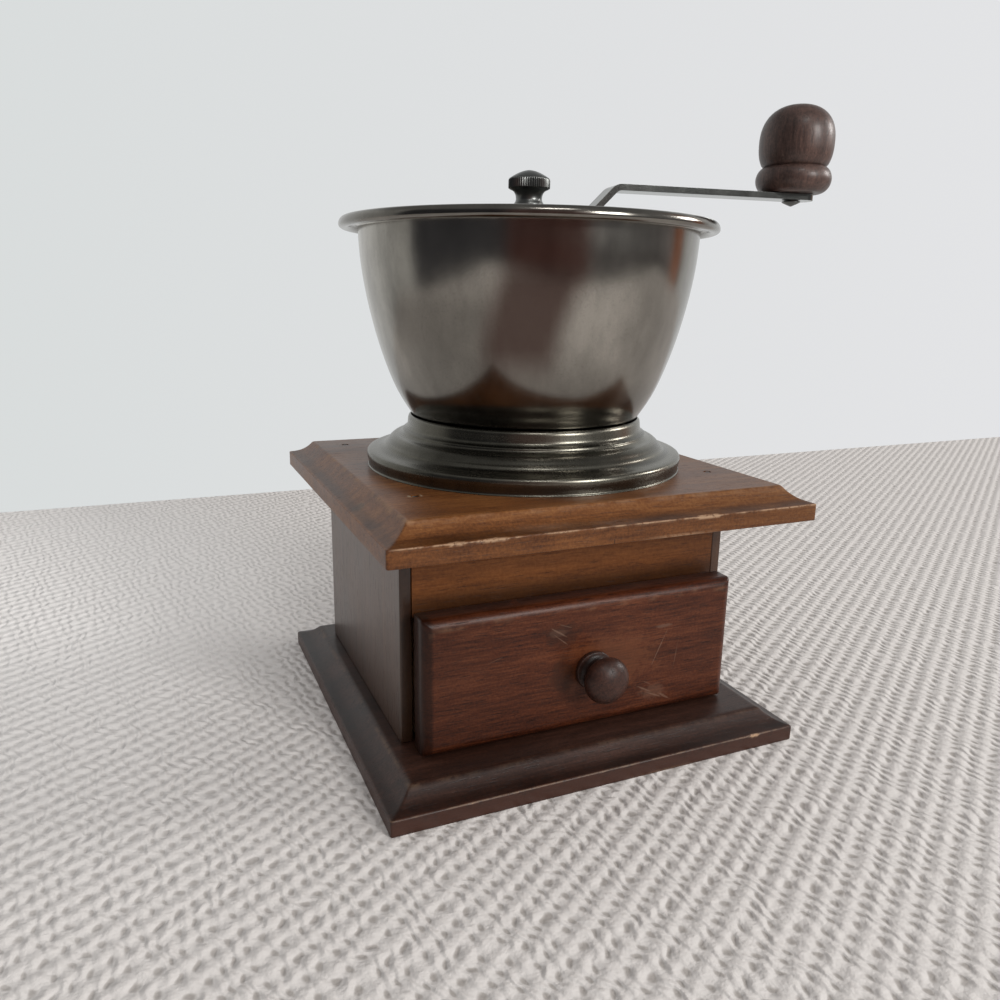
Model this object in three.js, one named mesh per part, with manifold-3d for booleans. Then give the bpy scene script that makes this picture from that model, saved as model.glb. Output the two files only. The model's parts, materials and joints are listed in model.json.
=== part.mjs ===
// A box coffee mill with an open hopper, as the separate pieces that it comes apart into.
// Millimetres, +Z up. The origin is under the middle of the base board, and the drawer faces -Y.
import * as THREE from "three";
import { mergeVertices } from "three/addons/utils/BufferGeometryUtils.js";
import Module from "manifold-3d";

const wasm = await Module();
wasm.setup();

// Clearances
const seatGap = 0.3; // between pieces that rest on each other or sit in a hole
const glueGap = 0.1; // between boards that are glued edge to edge
const bearingClearance = 0.1; // round the shaft in its bearings
const overrun = 1; // how far a cutter passes the face that it cuts

// Base board
const baseSide = 150;
const baseBand = 5.4; // height of the square band below the moulding
const baseHeight = 10.5;
const mouldingWidth = 8;
const mouldingStartShare = 0.41; // slope at the moulding's outer edge, of its slope on average
const arrisChamfer = 0.6; // where a moulding meets the flat

// Top board
const topSide = 150;
const topBand = 5.7;
const topThickness = 11.1;

// Case between the two boards
const caseWidth = 124;
const caseDepth = 99;
const caseHeight = 72;
const caseFront = 43; // from the grinding axis forwards to the front edges of the side panels
const sideThickness = 4;
const backThickness = 4;
const backRebate = 2; // how far the back panel is let into each side panel
const railThickness = 6;
const railHeight = 28.5;
const railChamfer = 0.8;

// Brads that hold the top board down
const bradHeadRadius = 1.1;
const bradShankRadius = 0.7;
const bradHeadHeight = 0.9;
const bradLength = 23;
const bradPoint = 1.6;
const bradFromSide = 2.4; // inside the side panel's inner face

// Drawer
const drawerFrontMargin = 3.5; // from each outer side of the case to the drawer's front
const drawerFrontLap = 3.5; // how far the front covers the rail
const drawerFrontThickness = 9;
const drawerEdgeInset = 3.6; // the rounded border, measured across the face
const drawerEdgeDepth = 3; // and into the thickness
const drawerStandsOpen = 3.6; // the drawer stands this far open
const drawerSideClearance = 2; // beside the drawer, inside the case
const drawerRailClearance = 3.1; // between the drawer's sides and the rail
const drawerRearClearance = 1; // behind the drawer when it is shut
const drawerSideThickness = 4;
const drawerBackThickness = 4;
const drawerBottomThickness = 3;
const drawerGroove = 2; // depth of the groove that holds the drawer's bottom
const drawerGrooveHeight = 3.5; // from the lower edge of the drawer's sides up to the groove
const drawerFloorGap = 0.4; // under the drawer

// Drawer knob
const drawerKnobHeight = 21.4; // above the top of the base board
const drawerKnobShift = 2; // it was set a little to the right
const drawerKnobFootRadius = 6.8;
const drawerKnobFootThickness = 1.6;
const drawerKnobNeckRadius = 4.4;
const drawerKnobHeadRadius = 8;
const drawerKnobNeckLength = 6.2; // from the face to the underside of the head
const drawerKnobLength = 14.5;
const drawerScrewRadius = 1.6;
const drawerScrewHeadRadius = 3.6;
const drawerScrewHeadHeight = 1.8;
const drawerScrewBite = 9; // how far it reaches into the knob
const drawerKnobWidestShare = 0.4; // of the head's depth

// Hopper bowl, pressed from sheet
const hopperLift = 8.4; // underside of the bowl's floor above the top board
const bowlDepth = 74.2; // from there up to where the rim turns out
const bowlMouthRadius = 60;
const bowlFloorRadius = 29;
const bowlThickness = 1;
const throatRadius = 17.5;
const rimTurnRadius = 1.2;
const rimReach = 4.6; // from the wall out to the middle of the rolled bead
const rimBeadRadius = 1.9;
const rimBeadDrop = 0.5; // middle of the bead below the top of the rim's turn
const rimUnderShare = 1.15; // quarter turns at which the rim's underside meets its bead
const rimBeadShare = -1.83; // quarter turns at which the bead starts
const rimBeadEndShare = 1.65; // and ends
const bowlRadiusShares = [0, 0.226, 0.41, 0.606, 0.777, 0.903, 0.974, 1];
const bowlHeightShares = [0, 0.045, 0.137, 0.274, 0.465, 0.669, 0.847, 1];

// Collar, pressed in three steps
const collarHeight = 18.2;
const collarFootRadius = 57.6;
const collarThickness = 1;
const collarOuterShares = [
  [1, 0], [1, 0.19], [1.05, 0.262], [0.975, 0.32], [0.79, 0.345], [0.64, 0.4], [0.6, 0.45],
  [0.53, 0.487], [0.495, 0.54], [0.4, 0.6], [0.28, 0.622], [0.21, 0.663], [0.185, 0.712],
  [0.11, 0.752], [0.075, 0.84], [0.05, 0.94], [0, 1],
];
const collarInnerShares = [
  [0, 0.94], [0.02, 0.72], [0.14, 0.58], [0.43, 0.42], [0.5, 0.33], [0.88, 0.22], [0.92, 0],
];

// Burr housing, an iron casting
const housingFlangeRadius = 36;
const housingFlangeThickness = 2.8;
const housingRadius = 26.6;
const housingTopRadius = 28.6;
const housingDrop = 31.6; // below the top face of the top board
const housingBoreRadius = 21.2;
const housingBoreDepth = 26; // from its lower end up to the shoulder
const housingChamfer = 1.2;

// Screws
const hopperScrewCircle = 23.4; // radius of the circle that they stand on
const hopperScrewRadius = 1.8;
const hopperScrewHeadRadius = 3.4;
const hopperScrewHeadHeight = 2;
const hopperScrewLength = 11;
const housingScrewCircle = 32.3;
const housingScrewRadius = 1.6;
const housingScrewHeadRadius = 2.9;
const housingScrewHeadHeight = 1.7;
const housingScrewLength = 11.5;
const bridgeScrewLength = 12;
const screwsInCircle = 3;
const screwHeadTopShare = 0.8; // of the head's radius, at its top

// Burrs
const burrTeeth = 20;
const burrToothDepth = 1.1;
const burrGap = 0.55; // between the two sets of teeth
const coneTwistShare = 0.11; // share of a turn that the cone's teeth lean over the ring's height
const ringTwistShare = -0.08; // the ring's teeth lean the other way, and so cross the cone's
const burrLowerRadius = 17.4; // ring burr, at the bottom of its teeth, lower end
const burrWaistRadius = 14.6;
const burrUpperRadius = 17.4;
const burrWaistHeight = 10; // above the lower end of the ring burr
const ringBurrHeight = 25.2;
const coneLift = 1.2; // lower end of the cone above that of the ring
const coneHeight = 34.6;
const coneNeckRadius = 6.6;
const coneLobeRadius = 9.4; // crushing ridges, at their upper end
const coneLobes = 5;
const coneLobeTwistShare = 0.3; // share of a turn that the ridges wind round

// Lower bearing bar
const lowerBarWidth = 10;
const lowerBarThickness = 3.2;

// Drive shaft
const shaftRadius = 4;
const shaftCollarRadius = 7.6;
const shaftCollarHeight = 3;
const shaftSquare = 6; // across the flats under the crank
const shaftStubRadius = 2.4;
const shaftStubLength = 6.6;
const shaftEndChamfer = 0.8;
const burrPinRadius = 1.1;
const burrPinLength = 12.6;
const burrPinBelowTop = 3.4; // under the upper end of the cone

// Cross bar in the hopper and its bush
const crossBarDrop = 8; // top of the bar below the turn of the rim
const crossBarThickness = 2.5;
const crossBarWidth = 14;
const crossBarTab = 11; // length of the bent ends, welded to the bowl
const crossBarBend = 2; // inside radius
const bushRadius = 5.4;
const bushFlangeRadius = 8.2;
const bushFlangeThickness = 1.5;

// Spring under the cross bar
const springRadius = 6; // to the middle of the wire
const springWire = 1.5; // diameter
const springTurns = 5;
const springHeight = 14.4;
const springWasherThickness = 1.2;

// Adjusting nut and its stop plate
const adjusterRadius = 9.4;
const adjusterKnurlHeight = 6.4;
const adjusterHubRadius = 6.6;
const adjusterHeight = 10.2;
const stopPlateRadius = 8.4;
const stopPlateThickness = 1.5;
const stopPlateNotch = 2.4;

// Crank
const crankLength = 105.4; // from the shaft to the middle of the knob
const crankThickness = 2.2;
const crankWidth = 9.4;
const crankHubRadius = 8;
const crankRise = 9.2; // the outer part is this much higher
const crankRiseStart = 23; // where the slope begins
const crankTail = 8.6; // past the middle of the knob
const crankBend = 3; // inside radius of the bends
const crankSlopeDegrees = 45;
const crankRestDegrees = -8.4; // the crank stands at this angle from +X

// Cap nut
const capNutFootRadius = 5.5;
const capNutNeckRadius = 4.6;
const capNutRadius = 7.35;
const capNutFootHeight = 2.7; // to the middle of the neck
const capNutUnderside = 6; // from its foot up to the knurled band
const capNutBand = 3.2;
const capNutDome = 3.1;
const capNutBoreDepth = 7.4;
const knurls = 20;
const knurlDepth = 0.4;
const capNutDomeShare = 0.94; // of the quarter turn that the dome covers

// Crank knob, turned wood
const knobRingInnerRadius = 9.5; // centre of the lower ring's round
const knobRingRound = 4.45;
const knobRingHalfHeight = 4.9;
const knobNeckHeight = 9.5; // from the foot up to the crease
const knobBodyRadius = 13.65;
const knobBodyHalfHeight = 13.7;
const knobBodyMiddle = 17.8; // widest place, above the foot
const knobRoundness = 2.4; // exponent of the body's curve, 2 is an ellipse
const knobBoreDepth = 22;
const spindleRadius = 2.6;
const spindleHeadRadius = 3.4;
const spindleHeadHeight = 1.8; // the head is a blunt cone

// Facets
const wideSides = 36;
const middleSides = 28;
const smallSides = 24;
const screwSides = 8;
const squareSides = 4;
const wallSteps = 8; // up the bowl's wall
const weldDistance = 1e-4;

// Heights and places that follow from the sizes
const quarterTurn = Math.PI / 2;
const fullTurn = 2 * Math.PI;
const caseTop = baseHeight + caseHeight;
const boardTop = caseTop + topThickness;
const caseBack = caseDepth - caseFront;
const caseInnerHalf = caseWidth / 2 - sideThickness;
const bowlFloor = boardTop + hopperLift;
const bowlTurn = bowlFloor + bowlDepth;
const housingTop = bowlFloor - seatGap;
const housingEnd = boardTop - housingDrop;
const housingHoleRadius = housingRadius + seatGap;
const ringBurrFoot = housingEnd + seatGap;
const coneFoot = ringBurrFoot + coneLift;
const coneTop = coneFoot + coneHeight;
const lowerBarTop = housingEnd - seatGap;
const lowerBarFoot = lowerBarTop - lowerBarThickness;
const shaftFoot = lowerBarFoot - seatGap - shaftEndChamfer;
const crossBarTop = bowlTurn - crossBarDrop;
const crossBarFoot = crossBarTop - crossBarThickness;
const bushTop = crossBarTop + seatGap + bushFlangeThickness;
const adjusterFoot = bushTop + seatGap;
const stopPlateFoot = adjusterFoot + adjusterHeight + seatGap;
const crankHubFoot = stopPlateFoot + stopPlateThickness + seatGap;
const crankHubTop = crankHubFoot + crankThickness;
const crankOuterFoot = crankHubFoot + crankRise;
const crankOuterTop = crankOuterFoot + crankThickness;
const capNutFoot = crankHubTop + seatGap;
const springWasherFoot = crossBarFoot - seatGap - springWasherThickness;
const springTop = springWasherFoot - seatGap;
const shaftCollarTop = springTop - springHeight - seatGap;
const knobFoot = crankOuterTop + seatGap;
const bearingRadius = shaftRadius + bearingClearance;
const drawerBack = -caseFront - drawerStandsOpen; // back face of the drawer's front
const drawerFace = drawerBack - drawerFrontThickness;
const drawerFoot = baseHeight + drawerFloorGap;
const drawerOpeningHeight = caseHeight - railHeight - drawerFloorGap;
const drawerFrontWidth = caseWidth - 2 * drawerFrontMargin;
const drawerFrontHeight = drawerOpeningHeight + drawerFrontLap;
const drawerBoxHeight = drawerOpeningHeight - drawerRailClearance;
const drawerBoxLength = caseDepth - backThickness - drawerRearClearance;
const drawerFrontMiddle = drawerFoot + drawerFrontHeight / 2;

// A closed outline of [radius, height] pairs turned about +Z, up the outside and down the inside.
function revolve(outline, sides = wideSides) {
  const points = outline.map(([radius, height]) => new THREE.Vector2(radius, height));
  return new THREE.LatheGeometry(points, sides).rotateX(quarterTurn);
}

// The same, for a ring that doesn't reach the axis.
function revolveRing(outline, sides = wideSides) {
  return revolve([...outline, outline[0]], sides);
}

// Rings of points, each with as many points counterclockwise, skinned one to the next.
function loft(rings, closed = false) {
  const count = rings[0].length;
  const points = rings.flat();
  const faces = [];
  const spans = closed ? rings.length : rings.length - 1;
  for (let ring = 0; ring < spans; ring++) {
    const lower = ring * count;
    const upper = ((ring + 1) % rings.length) * count;
    for (let side = 0; side < count; side++) {
      const next = (side + 1) % count;
      faces.push(lower + side, lower + next, upper + next, lower + side, upper + next, upper + side);
    }
  }
  if (!closed) {
    capRing(rings[0], 0, points, faces, false);
    capRing(rings[rings.length - 1], (rings.length - 1) * count, points, faces, true);
  }
  const geometry = new THREE.BufferGeometry();
  geometry.setAttribute("position", new THREE.Float32BufferAttribute(points.flat(), 3));
  geometry.setIndex(faces);
  geometry.computeVertexNormals();
  return geometry;
}

// Closes one end of a loft with a fan about the ring's middle.
function capRing(ring, start, points, faces, facesUp) {
  const middle = [0, 1, 2].map((axis) => ring.reduce((sum, point) => sum + point[axis], 0) / ring.length);
  const centre = points.push(middle) - 1;
  for (let side = 0; side < ring.length; side++) {
    const here = start + side;
    const next = start + ((side + 1) % ring.length);
    faces.push(...(facesUp ? [centre, here, next] : [centre, next, here]));
  }
}

// A ring of points about the Z axis. radiusAt gives the radius for a share of the turn, and the
// whole ring is turned clockwise, seen from above, by clockwiseShare of a turn.
function ringAt(height, count, radiusAt, clockwiseShare = 0) {
  return Array.from({ length: count }, (_, index) => {
    const share = index / count;
    const angle = (share - clockwiseShare) * fullTurn;
    const radius = radiusAt(share);
    return [radius * Math.cos(angle), radius * Math.sin(angle), height];
  });
}

function solidFrom(geometry) {
  const bare = geometry.clone();
  bare.deleteAttribute("normal");
  bare.deleteAttribute("uv");
  const merged = mergeVertices(bare, weldDistance);
  return new wasm.Manifold(
    new wasm.Mesh({
      numProp: 3,
      vertProperties: merged.attributes.position.array,
      triVerts: Uint32Array.from(merged.index.array),
    }),
  );
}

function geometryFrom(solid) {
  const mesh = solid.getMesh();
  const geometry = new THREE.BufferGeometry();
  geometry.setAttribute("position", new THREE.BufferAttribute(mesh.vertProperties, 3));
  geometry.setIndex(new THREE.BufferAttribute(mesh.triVerts, 1));
  geometry.computeVertexNormals();
  return geometry;
}

function cut(geometry, ...tools) {
  const result = tools.reduce((solid, tool) => solid.subtract(solidFrom(tool)), solidFrom(geometry));
  return geometryFrom(result);
}

function common(first, second) {
  return geometryFrom(solidFrom(first).intersect(solidFrom(second)));
}

// A block between two opposite corners.
function block([x0, y0, z0], [x1, y1, z1]) {
  return new THREE.BoxGeometry(x1 - x0, y1 - y0, z1 - z0).translate(
    (x0 + x1) / 2,
    (y0 + y1) / 2,
    (z0 + z1) / 2,
  );
}

// An upright cylinder from one height to another.
function post(radius, foot, top, [x, y] = [0, 0], sides = smallSides) {
  return new THREE.CylinderGeometry(radius, radius, top - foot, sides)
    .rotateX(quarterTurn)
    .translate(x, y, (foot + top) / 2);
}

// A flat outline in X and Y, raised from one height to another.
function prism(outline, foot, top) {
  const shape = new THREE.Shape(outline.map(([x, y]) => new THREE.Vector2(x, y)));
  return new THREE.ExtrudeGeometry(shape, { depth: top - foot, bevelEnabled: false }).translate(0, 0, foot);
}

// Points of a quarter or other stretch of an ellipse, both ends included.
function arcPoints([x, y], radiusX, radiusY, startAngle, endAngle, steps) {
  return Array.from({ length: steps + 1 }, (_, step) => {
    const angle = startAngle + ((endAngle - startAngle) * step) / steps;
    return [x + radiusX * Math.cos(angle), y + radiusY * Math.sin(angle)];
  });
}

function splinePoints(points, steps) {
  const curve = new THREE.SplineCurve(points.map(([x, y]) => new THREE.Vector2(x, y)));
  return curve.getPoints(steps).map((point) => [point.x, point.y]);
}

// Places spread evenly round a circle about the shaft.
function circlePlaces(radius, count, startAngle) {
  return Array.from({ length: count }, (_, index) => {
    const angle = startAngle + (fullTurn * index) / count;
    return [radius * Math.cos(angle), radius * Math.sin(angle)];
  });
}

const hopperScrewPlaces = circlePlaces(hopperScrewCircle, screwsInCircle, quarterTurn);
const housingScrewPlaces = circlePlaces(housingScrewCircle, screwsInCircle, -quarterTurn);
const bridgeScrewCircle = (housingBoreRadius + housingRadius) / 2;
const bridgeScrewPlaces = circlePlaces(bridgeScrewCircle, 2, 0);

// Brads stand in the ends of the rail and of the back panel.
const bradX = caseInnerHalf - bradFromSide;
const bradPlaces = {
  front_left: [-bradX, -caseFront + railThickness / 2],
  front_right: [bradX, -caseFront + railThickness / 2],
  back_left: [-bradX, caseBack - backThickness / 2],
  back_right: [bradX, caseBack - backThickness / 2],
};

const materials = {
  caseWood: new THREE.MeshStandardMaterial({ color: 0x5a3218, roughness: 0.42, metalness: 0 }),
  drawerWood: new THREE.MeshStandardMaterial({ color: 0x46211a, roughness: 0.36, metalness: 0 }),
  innerWood: new THREE.MeshStandardMaterial({ color: 0xa98358, roughness: 0.7, metalness: 0 }),
  knobWood: new THREE.MeshStandardMaterial({ color: 0x2e1713, roughness: 0.3, metalness: 0 }),
  hopperMetal: new THREE.MeshStandardMaterial({ color: 0x5c5751, roughness: 0.32, metalness: 1 }),
  crankSteel: new THREE.MeshStandardMaterial({ color: 0x8d8b86, roughness: 0.34, metalness: 1 }),
  darkSteel: new THREE.MeshStandardMaterial({ color: 0x3d3f3d, roughness: 0.45, metalness: 1 }),
  castIron: new THREE.MeshStandardMaterial({ color: 0x3a3936, roughness: 0.7, metalness: 1 }),
  bushMetal: new THREE.MeshStandardMaterial({ color: 0xa98345, roughness: 0.4, metalness: 1 }),
};

const group = new THREE.Group();

function place(parent, name, geometry, material) {
  const mesh = new THREE.Mesh(geometry, material);
  mesh.name = name;
  parent.add(mesh);
  return mesh;
}

// A square board, mitred at the corners, with a plain band, a moulding that steepens inwards and a flat top.
function mouldedBoard(side, band, thickness) {
  const half = side / 2;
  const rise = thickness - band - arrisChamfer;
  const steps = 7;
  const moulding = Array.from({ length: steps + 1 }, (_, step) => {
    const inward = step / steps;
    const upward = mouldingStartShare * inward + (1 - mouldingStartShare) * inward ** 3;
    return [half - inward * mouldingWidth, band + upward * rise];
  });
  const outline = [
    [0, 0],
    [half, 0],
    ...moulding,
    [half - mouldingWidth - arrisChamfer, thickness],
    [0, thickness],
  ];
  const toCorner = Math.SQRT2;
  return revolve(outline.map(([x, z]) => [x * toCorner, z]), squareSides).rotateZ(quarterTurn / 2);
}

function topBoard() {
  const board = mouldedBoard(topSide, topBand, topThickness).translate(0, 0, caseTop);
  const housingHole = post(housingHoleRadius, caseTop - overrun, boardTop + overrun, [0, 0], middleSides);
  const bradHoles = Object.values(bradPlaces).flatMap((at) => bradHole(at));
  const screwHoles = housingScrewPlaces.map((at) =>
    post(housingScrewRadius + seatGap, caseTop - overrun, boardTop + overrun, at, screwSides),
  );
  return cut(board, housingHole, ...bradHoles, ...screwHoles);
}

function bradHole(at) {
  return [
    post(bradShankRadius + seatGap, boardTop - bradLength - seatGap, boardTop + overrun, at, screwSides),
    post(bradHeadRadius + seatGap, boardTop - bradHeadHeight - seatGap, boardTop + overrun, at, screwSides),
  ];
}

// The head is a shallow dome, and the end is a point.
function brad([x, y]) {
  const foot = boardTop - bradLength;
  const outline = [
    [0, foot],
    [bradShankRadius, foot + bradPoint],
    [bradShankRadius, boardTop - bradHeadHeight],
    [bradHeadRadius, boardTop - bradHeadHeight],
    ...arcPoints([0, boardTop - bradHeadHeight / 2], bradHeadRadius, bradHeadHeight / 2, 0, quarterTurn, 3),
  ];
  return revolve(outline, screwSides).translate(x, y, 0);
}

// Side panels have a rebate at the back for the back panel.
function sidePanel(hand) {
  const inner = caseInnerHalf * hand;
  const outer = (caseWidth / 2) * hand;
  const rebate = (caseInnerHalf + backRebate) * hand;
  const outline = [
    [outer, -caseFront],
    [outer, caseBack],
    [rebate, caseBack],
    [rebate, caseBack - backThickness],
    [inner, caseBack - backThickness],
    [inner, -caseFront],
  ];
  return prism(hand > 0 ? outline : outline.reverse(), baseHeight, caseTop);
}

function backPanel() {
  const half = caseInnerHalf + backRebate - glueGap;
  const panel = block([-half, caseBack - backThickness + glueGap, baseHeight], [half, caseBack, caseTop]);
  return cut(panel, ...bradHole(bradPlaces.back_left), ...bradHole(bradPlaces.back_right));
}

// The rail over the drawer has a small chamfer along its lower front edge.
function frontRail() {
  const half = caseInnerHalf - glueGap;
  const foot = caseTop - railHeight;
  const section = [
    [-caseFront, foot + railChamfer],
    [-caseFront + railChamfer, foot],
    [-caseFront + railThickness, foot],
    [-caseFront + railThickness, caseTop],
    [-caseFront, caseTop],
  ];
  const rail = prism(section, -half, half).rotateZ(quarterTurn).rotateY(quarterTurn);
  return cut(rail, ...bradHole(bradPlaces.front_left), ...bradHole(bradPlaces.front_right));
}

// The drawer's front is a board whose face is rounded over all round.
function drawerFront() {
  const roundSteps = 5;
  const rings = [[0, 0]];
  arcPoints([0, 0], 1, 1, 0, quarterTurn, roundSteps).forEach(([cosine, sine]) => {
    rings.push([
      drawerEdgeInset * (1 - cosine),
      drawerFrontThickness - drawerEdgeDepth + drawerEdgeDepth * sine,
    ]);
  });
  const front = loft(rings.map(([inset, depth]) => rectangleRing(inset, depth)))
    .rotateX(quarterTurn)
    .translate(0, drawerBack, drawerFrontMiddle);
  return cut(front, drawerKnobHole());
}

function rectangleRing(inset, depth) {
  const halfWidth = drawerFrontWidth / 2 - inset;
  const halfHeight = drawerFrontHeight / 2 - inset;
  return [[-1, -1], [1, -1], [1, 1], [-1, 1]].map(([x, y]) => [x * halfWidth, y * halfHeight, depth]);
}

// Turns a piece made about +Z so that it stands out of the drawer's face at the knob's place.
function atDrawerKnob(geometry) {
  return geometry.rotateX(quarterTurn).translate(drawerKnobShift, drawerFace, baseHeight + drawerKnobHeight);
}

function drawerKnobHole() {
  const deep = drawerFrontThickness + overrun;
  return atDrawerKnob(post(drawerScrewRadius + seatGap, -deep, overrun, [0, 0], screwSides));
}

function drawerKnob() {
  const headSteps = 6;
  const headDepth = drawerKnobLength - drawerKnobNeckLength;
  const headBack = headDepth * drawerKnobWidestShare;
  const widest = drawerKnobNeckLength + headBack;
  const outline = [
    [0, seatGap],
    [drawerKnobFootRadius, seatGap],
    [drawerKnobFootRadius, drawerKnobFootThickness],
    [drawerKnobNeckRadius, drawerKnobFootThickness + (drawerKnobFootRadius - drawerKnobNeckRadius) / 2],
    [drawerKnobNeckRadius, drawerKnobNeckLength],
    ...arcPoints(
      [drawerKnobNeckRadius, widest],
      drawerKnobHeadRadius - drawerKnobNeckRadius, headBack, -quarterTurn, 0, headSteps - 3,
    ).slice(1),
    ...arcPoints([0, widest], drawerKnobHeadRadius, headDepth - headBack, 0, quarterTurn, headSteps).slice(1),
  ];
  const bore = post(drawerScrewRadius + seatGap, -overrun, drawerScrewBite + seatGap, [0, 0], screwSides);
  return atDrawerKnob(cut(revolve(outline, smallSides), bore));
}

function drawerKnobScrew() {
  const headFoot = -drawerFrontThickness - seatGap;
  return atDrawerKnob(slottedScrew(
    drawerScrewRadius, drawerScrewHeadRadius, drawerScrewHeadHeight,
    drawerFrontThickness + drawerScrewBite, headFoot, [0, 0], -1,
  ));
}

// A slotted screw about +Z. headFoot is the height of the face under the head.
// direction 1 puts the head above that face and the shank below it, -1 the other way round.
function slottedScrew(radius, headRadius, headHeight, length, headFoot, [x, y], direction = 1) {
  const shankEnd = -length;
  const slotWidth = headHeight / 2;
  const slotDepth = headHeight / 2;
  const outline = [
    [0, shankEnd],
    [radius, shankEnd + radius],
    [radius, 0],
    [headRadius, 0],
    [headRadius, headHeight / 2],
    [headRadius * screwHeadTopShare, headHeight],
    [0, headHeight],
  ];
  const slot = block(
    [-headRadius - overrun, -slotWidth / 2, headHeight - slotDepth],
    [headRadius + overrun, slotWidth / 2, headHeight + overrun],
  );
  const screw = cut(revolve(outline, screwSides), slot);
  if (direction < 0) screw.rotateX(2 * quarterTurn);
  return screw.translate(x, y, headFoot);
}

const drawerBoxHalf = caseInnerHalf - drawerSideClearance;
const drawerBoxBack = drawerBack + drawerBoxLength;
const drawerBoxTop = drawerFoot + drawerBoxHeight;
const drawerGrooveFoot = drawerFoot + drawerGrooveHeight;

// Each side stands behind the front, with a groove for the bottom.
function drawerSide(hand) {
  const outer = drawerBoxHalf * hand;
  const inner = (drawerBoxHalf - drawerSideThickness) * hand;
  const grooveEnd = (drawerBoxHalf - drawerSideThickness + drawerGroove) * hand;
  const section = [
    [outer, drawerFoot],
    [outer, drawerBoxTop],
    [inner, drawerBoxTop],
    [inner, drawerGrooveFoot + drawerBottomThickness + seatGap],
    [grooveEnd, drawerGrooveFoot + drawerBottomThickness + seatGap],
    [grooveEnd, drawerGrooveFoot],
    [inner, drawerGrooveFoot],
    [inner, drawerFoot],
  ];
  const turned = hand > 0 ? section : section.reverse();
  return prism(turned, -drawerBoxBack, -drawerBack - glueGap).rotateX(quarterTurn);
}

function drawerRear() {
  const half = drawerBoxHalf - drawerSideThickness - glueGap;
  const foot = drawerGrooveFoot + drawerBottomThickness + seatGap;
  return block([-half, drawerBoxBack - drawerBackThickness, foot], [half, drawerBoxBack, drawerBoxTop]);
}

function drawerBottom() {
  const half = drawerBoxHalf - drawerSideThickness + drawerGroove - seatGap;
  const foot = drawerGrooveFoot + seatGap / 2;
  return block([-half, drawerBack + glueGap, foot], [half, drawerBoxBack, foot + drawerBottomThickness]);
}

// Outer face of the bowl from the edge of its floor up to the turn of the rim.
const bowlWall = splinePoints(
  bowlRadiusShares.map((share, index) => [
    bowlFloorRadius + share * (bowlMouthRadius - bowlFloorRadius),
    bowlFloor + bowlHeightShares[index] * bowlDepth,
  ]),
  wallSteps,
);

// The same face moved square to itself, towards the inside of the bowl.
function insetWall(distance) {
  return bowlWall.map(([radius, height], index) => {
    const [r0, z0] = bowlWall[Math.max(index - 1, 0)];
    const [r1, z1] = bowlWall[Math.min(index + 1, bowlWall.length - 1)];
    const along = Math.hypot(r1 - r0, z1 - z0);
    return [radius - (distance * (z1 - z0)) / along, height + (distance * (r1 - r0)) / along];
  });
}

function bowlRadiusAt(height) {
  const upper = bowlWall.findIndex(([, z]) => z > height);
  const [r0, z0] = bowlWall[upper - 1];
  const [r1, z1] = bowlWall[upper];
  return r0 + ((r1 - r0) * (height - z0)) / (z1 - z0);
}

function hopperBowl() {
  const inner = insetWall(bowlThickness);
  const turnCentre = [bowlMouthRadius + rimTurnRadius, bowlTurn];
  const underTurn = arcPoints(turnCentre, rimTurnRadius, rimTurnRadius, 2 * quarterTurn, rimUnderShare * quarterTurn, 2);
  const upperRadius = rimTurnRadius + bowlThickness;
  const overTurn = arcPoints(turnCentre, upperRadius, upperRadius, quarterTurn, 2 * quarterTurn, 3);
  const beadCentre = [bowlMouthRadius + rimReach, bowlTurn + upperRadius - rimBeadDrop];
  const beadStart = rimBeadShare * quarterTurn;
  const beadEnd = rimBeadEndShare * quarterTurn;
  const bead = arcPoints(beadCentre, rimBeadRadius, rimBeadRadius, beadStart, beadEnd, 7);
  const outline = [
    [throatRadius, bowlFloor],
    ...bowlWall,
    ...underTurn.slice(1),
    ...bead,
    ...overTurn.slice(1, -1),
    ...inner.reverse(),
    [throatRadius, bowlFloor + bowlThickness],
  ];
  const holes = hopperScrewPlaces.map((at) =>
    post(hopperScrewRadius + seatGap, bowlFloor - overrun, bowlFloor + bowlThickness + overrun, at, screwSides),
  );
  return cut(revolveRing(outline), ...holes);
}

function hopperCollar() {
  const mouth = bowlRadiusAt(boardTop + collarHeight) + seatGap + collarThickness;
  const toPoint = ([radiusShare, heightShare]) => [
    mouth + radiusShare * (collarFootRadius - mouth),
    boardTop + heightShare * collarHeight,
  ];
  const outer = collarOuterShares.map(toPoint);
  const inner = collarInnerShares.map(toPoint).map(([radius, height]) => [radius - collarThickness, height]);
  return revolveRing([...outer, [mouth - collarThickness, boardTop + collarHeight], ...inner]);
}

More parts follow.
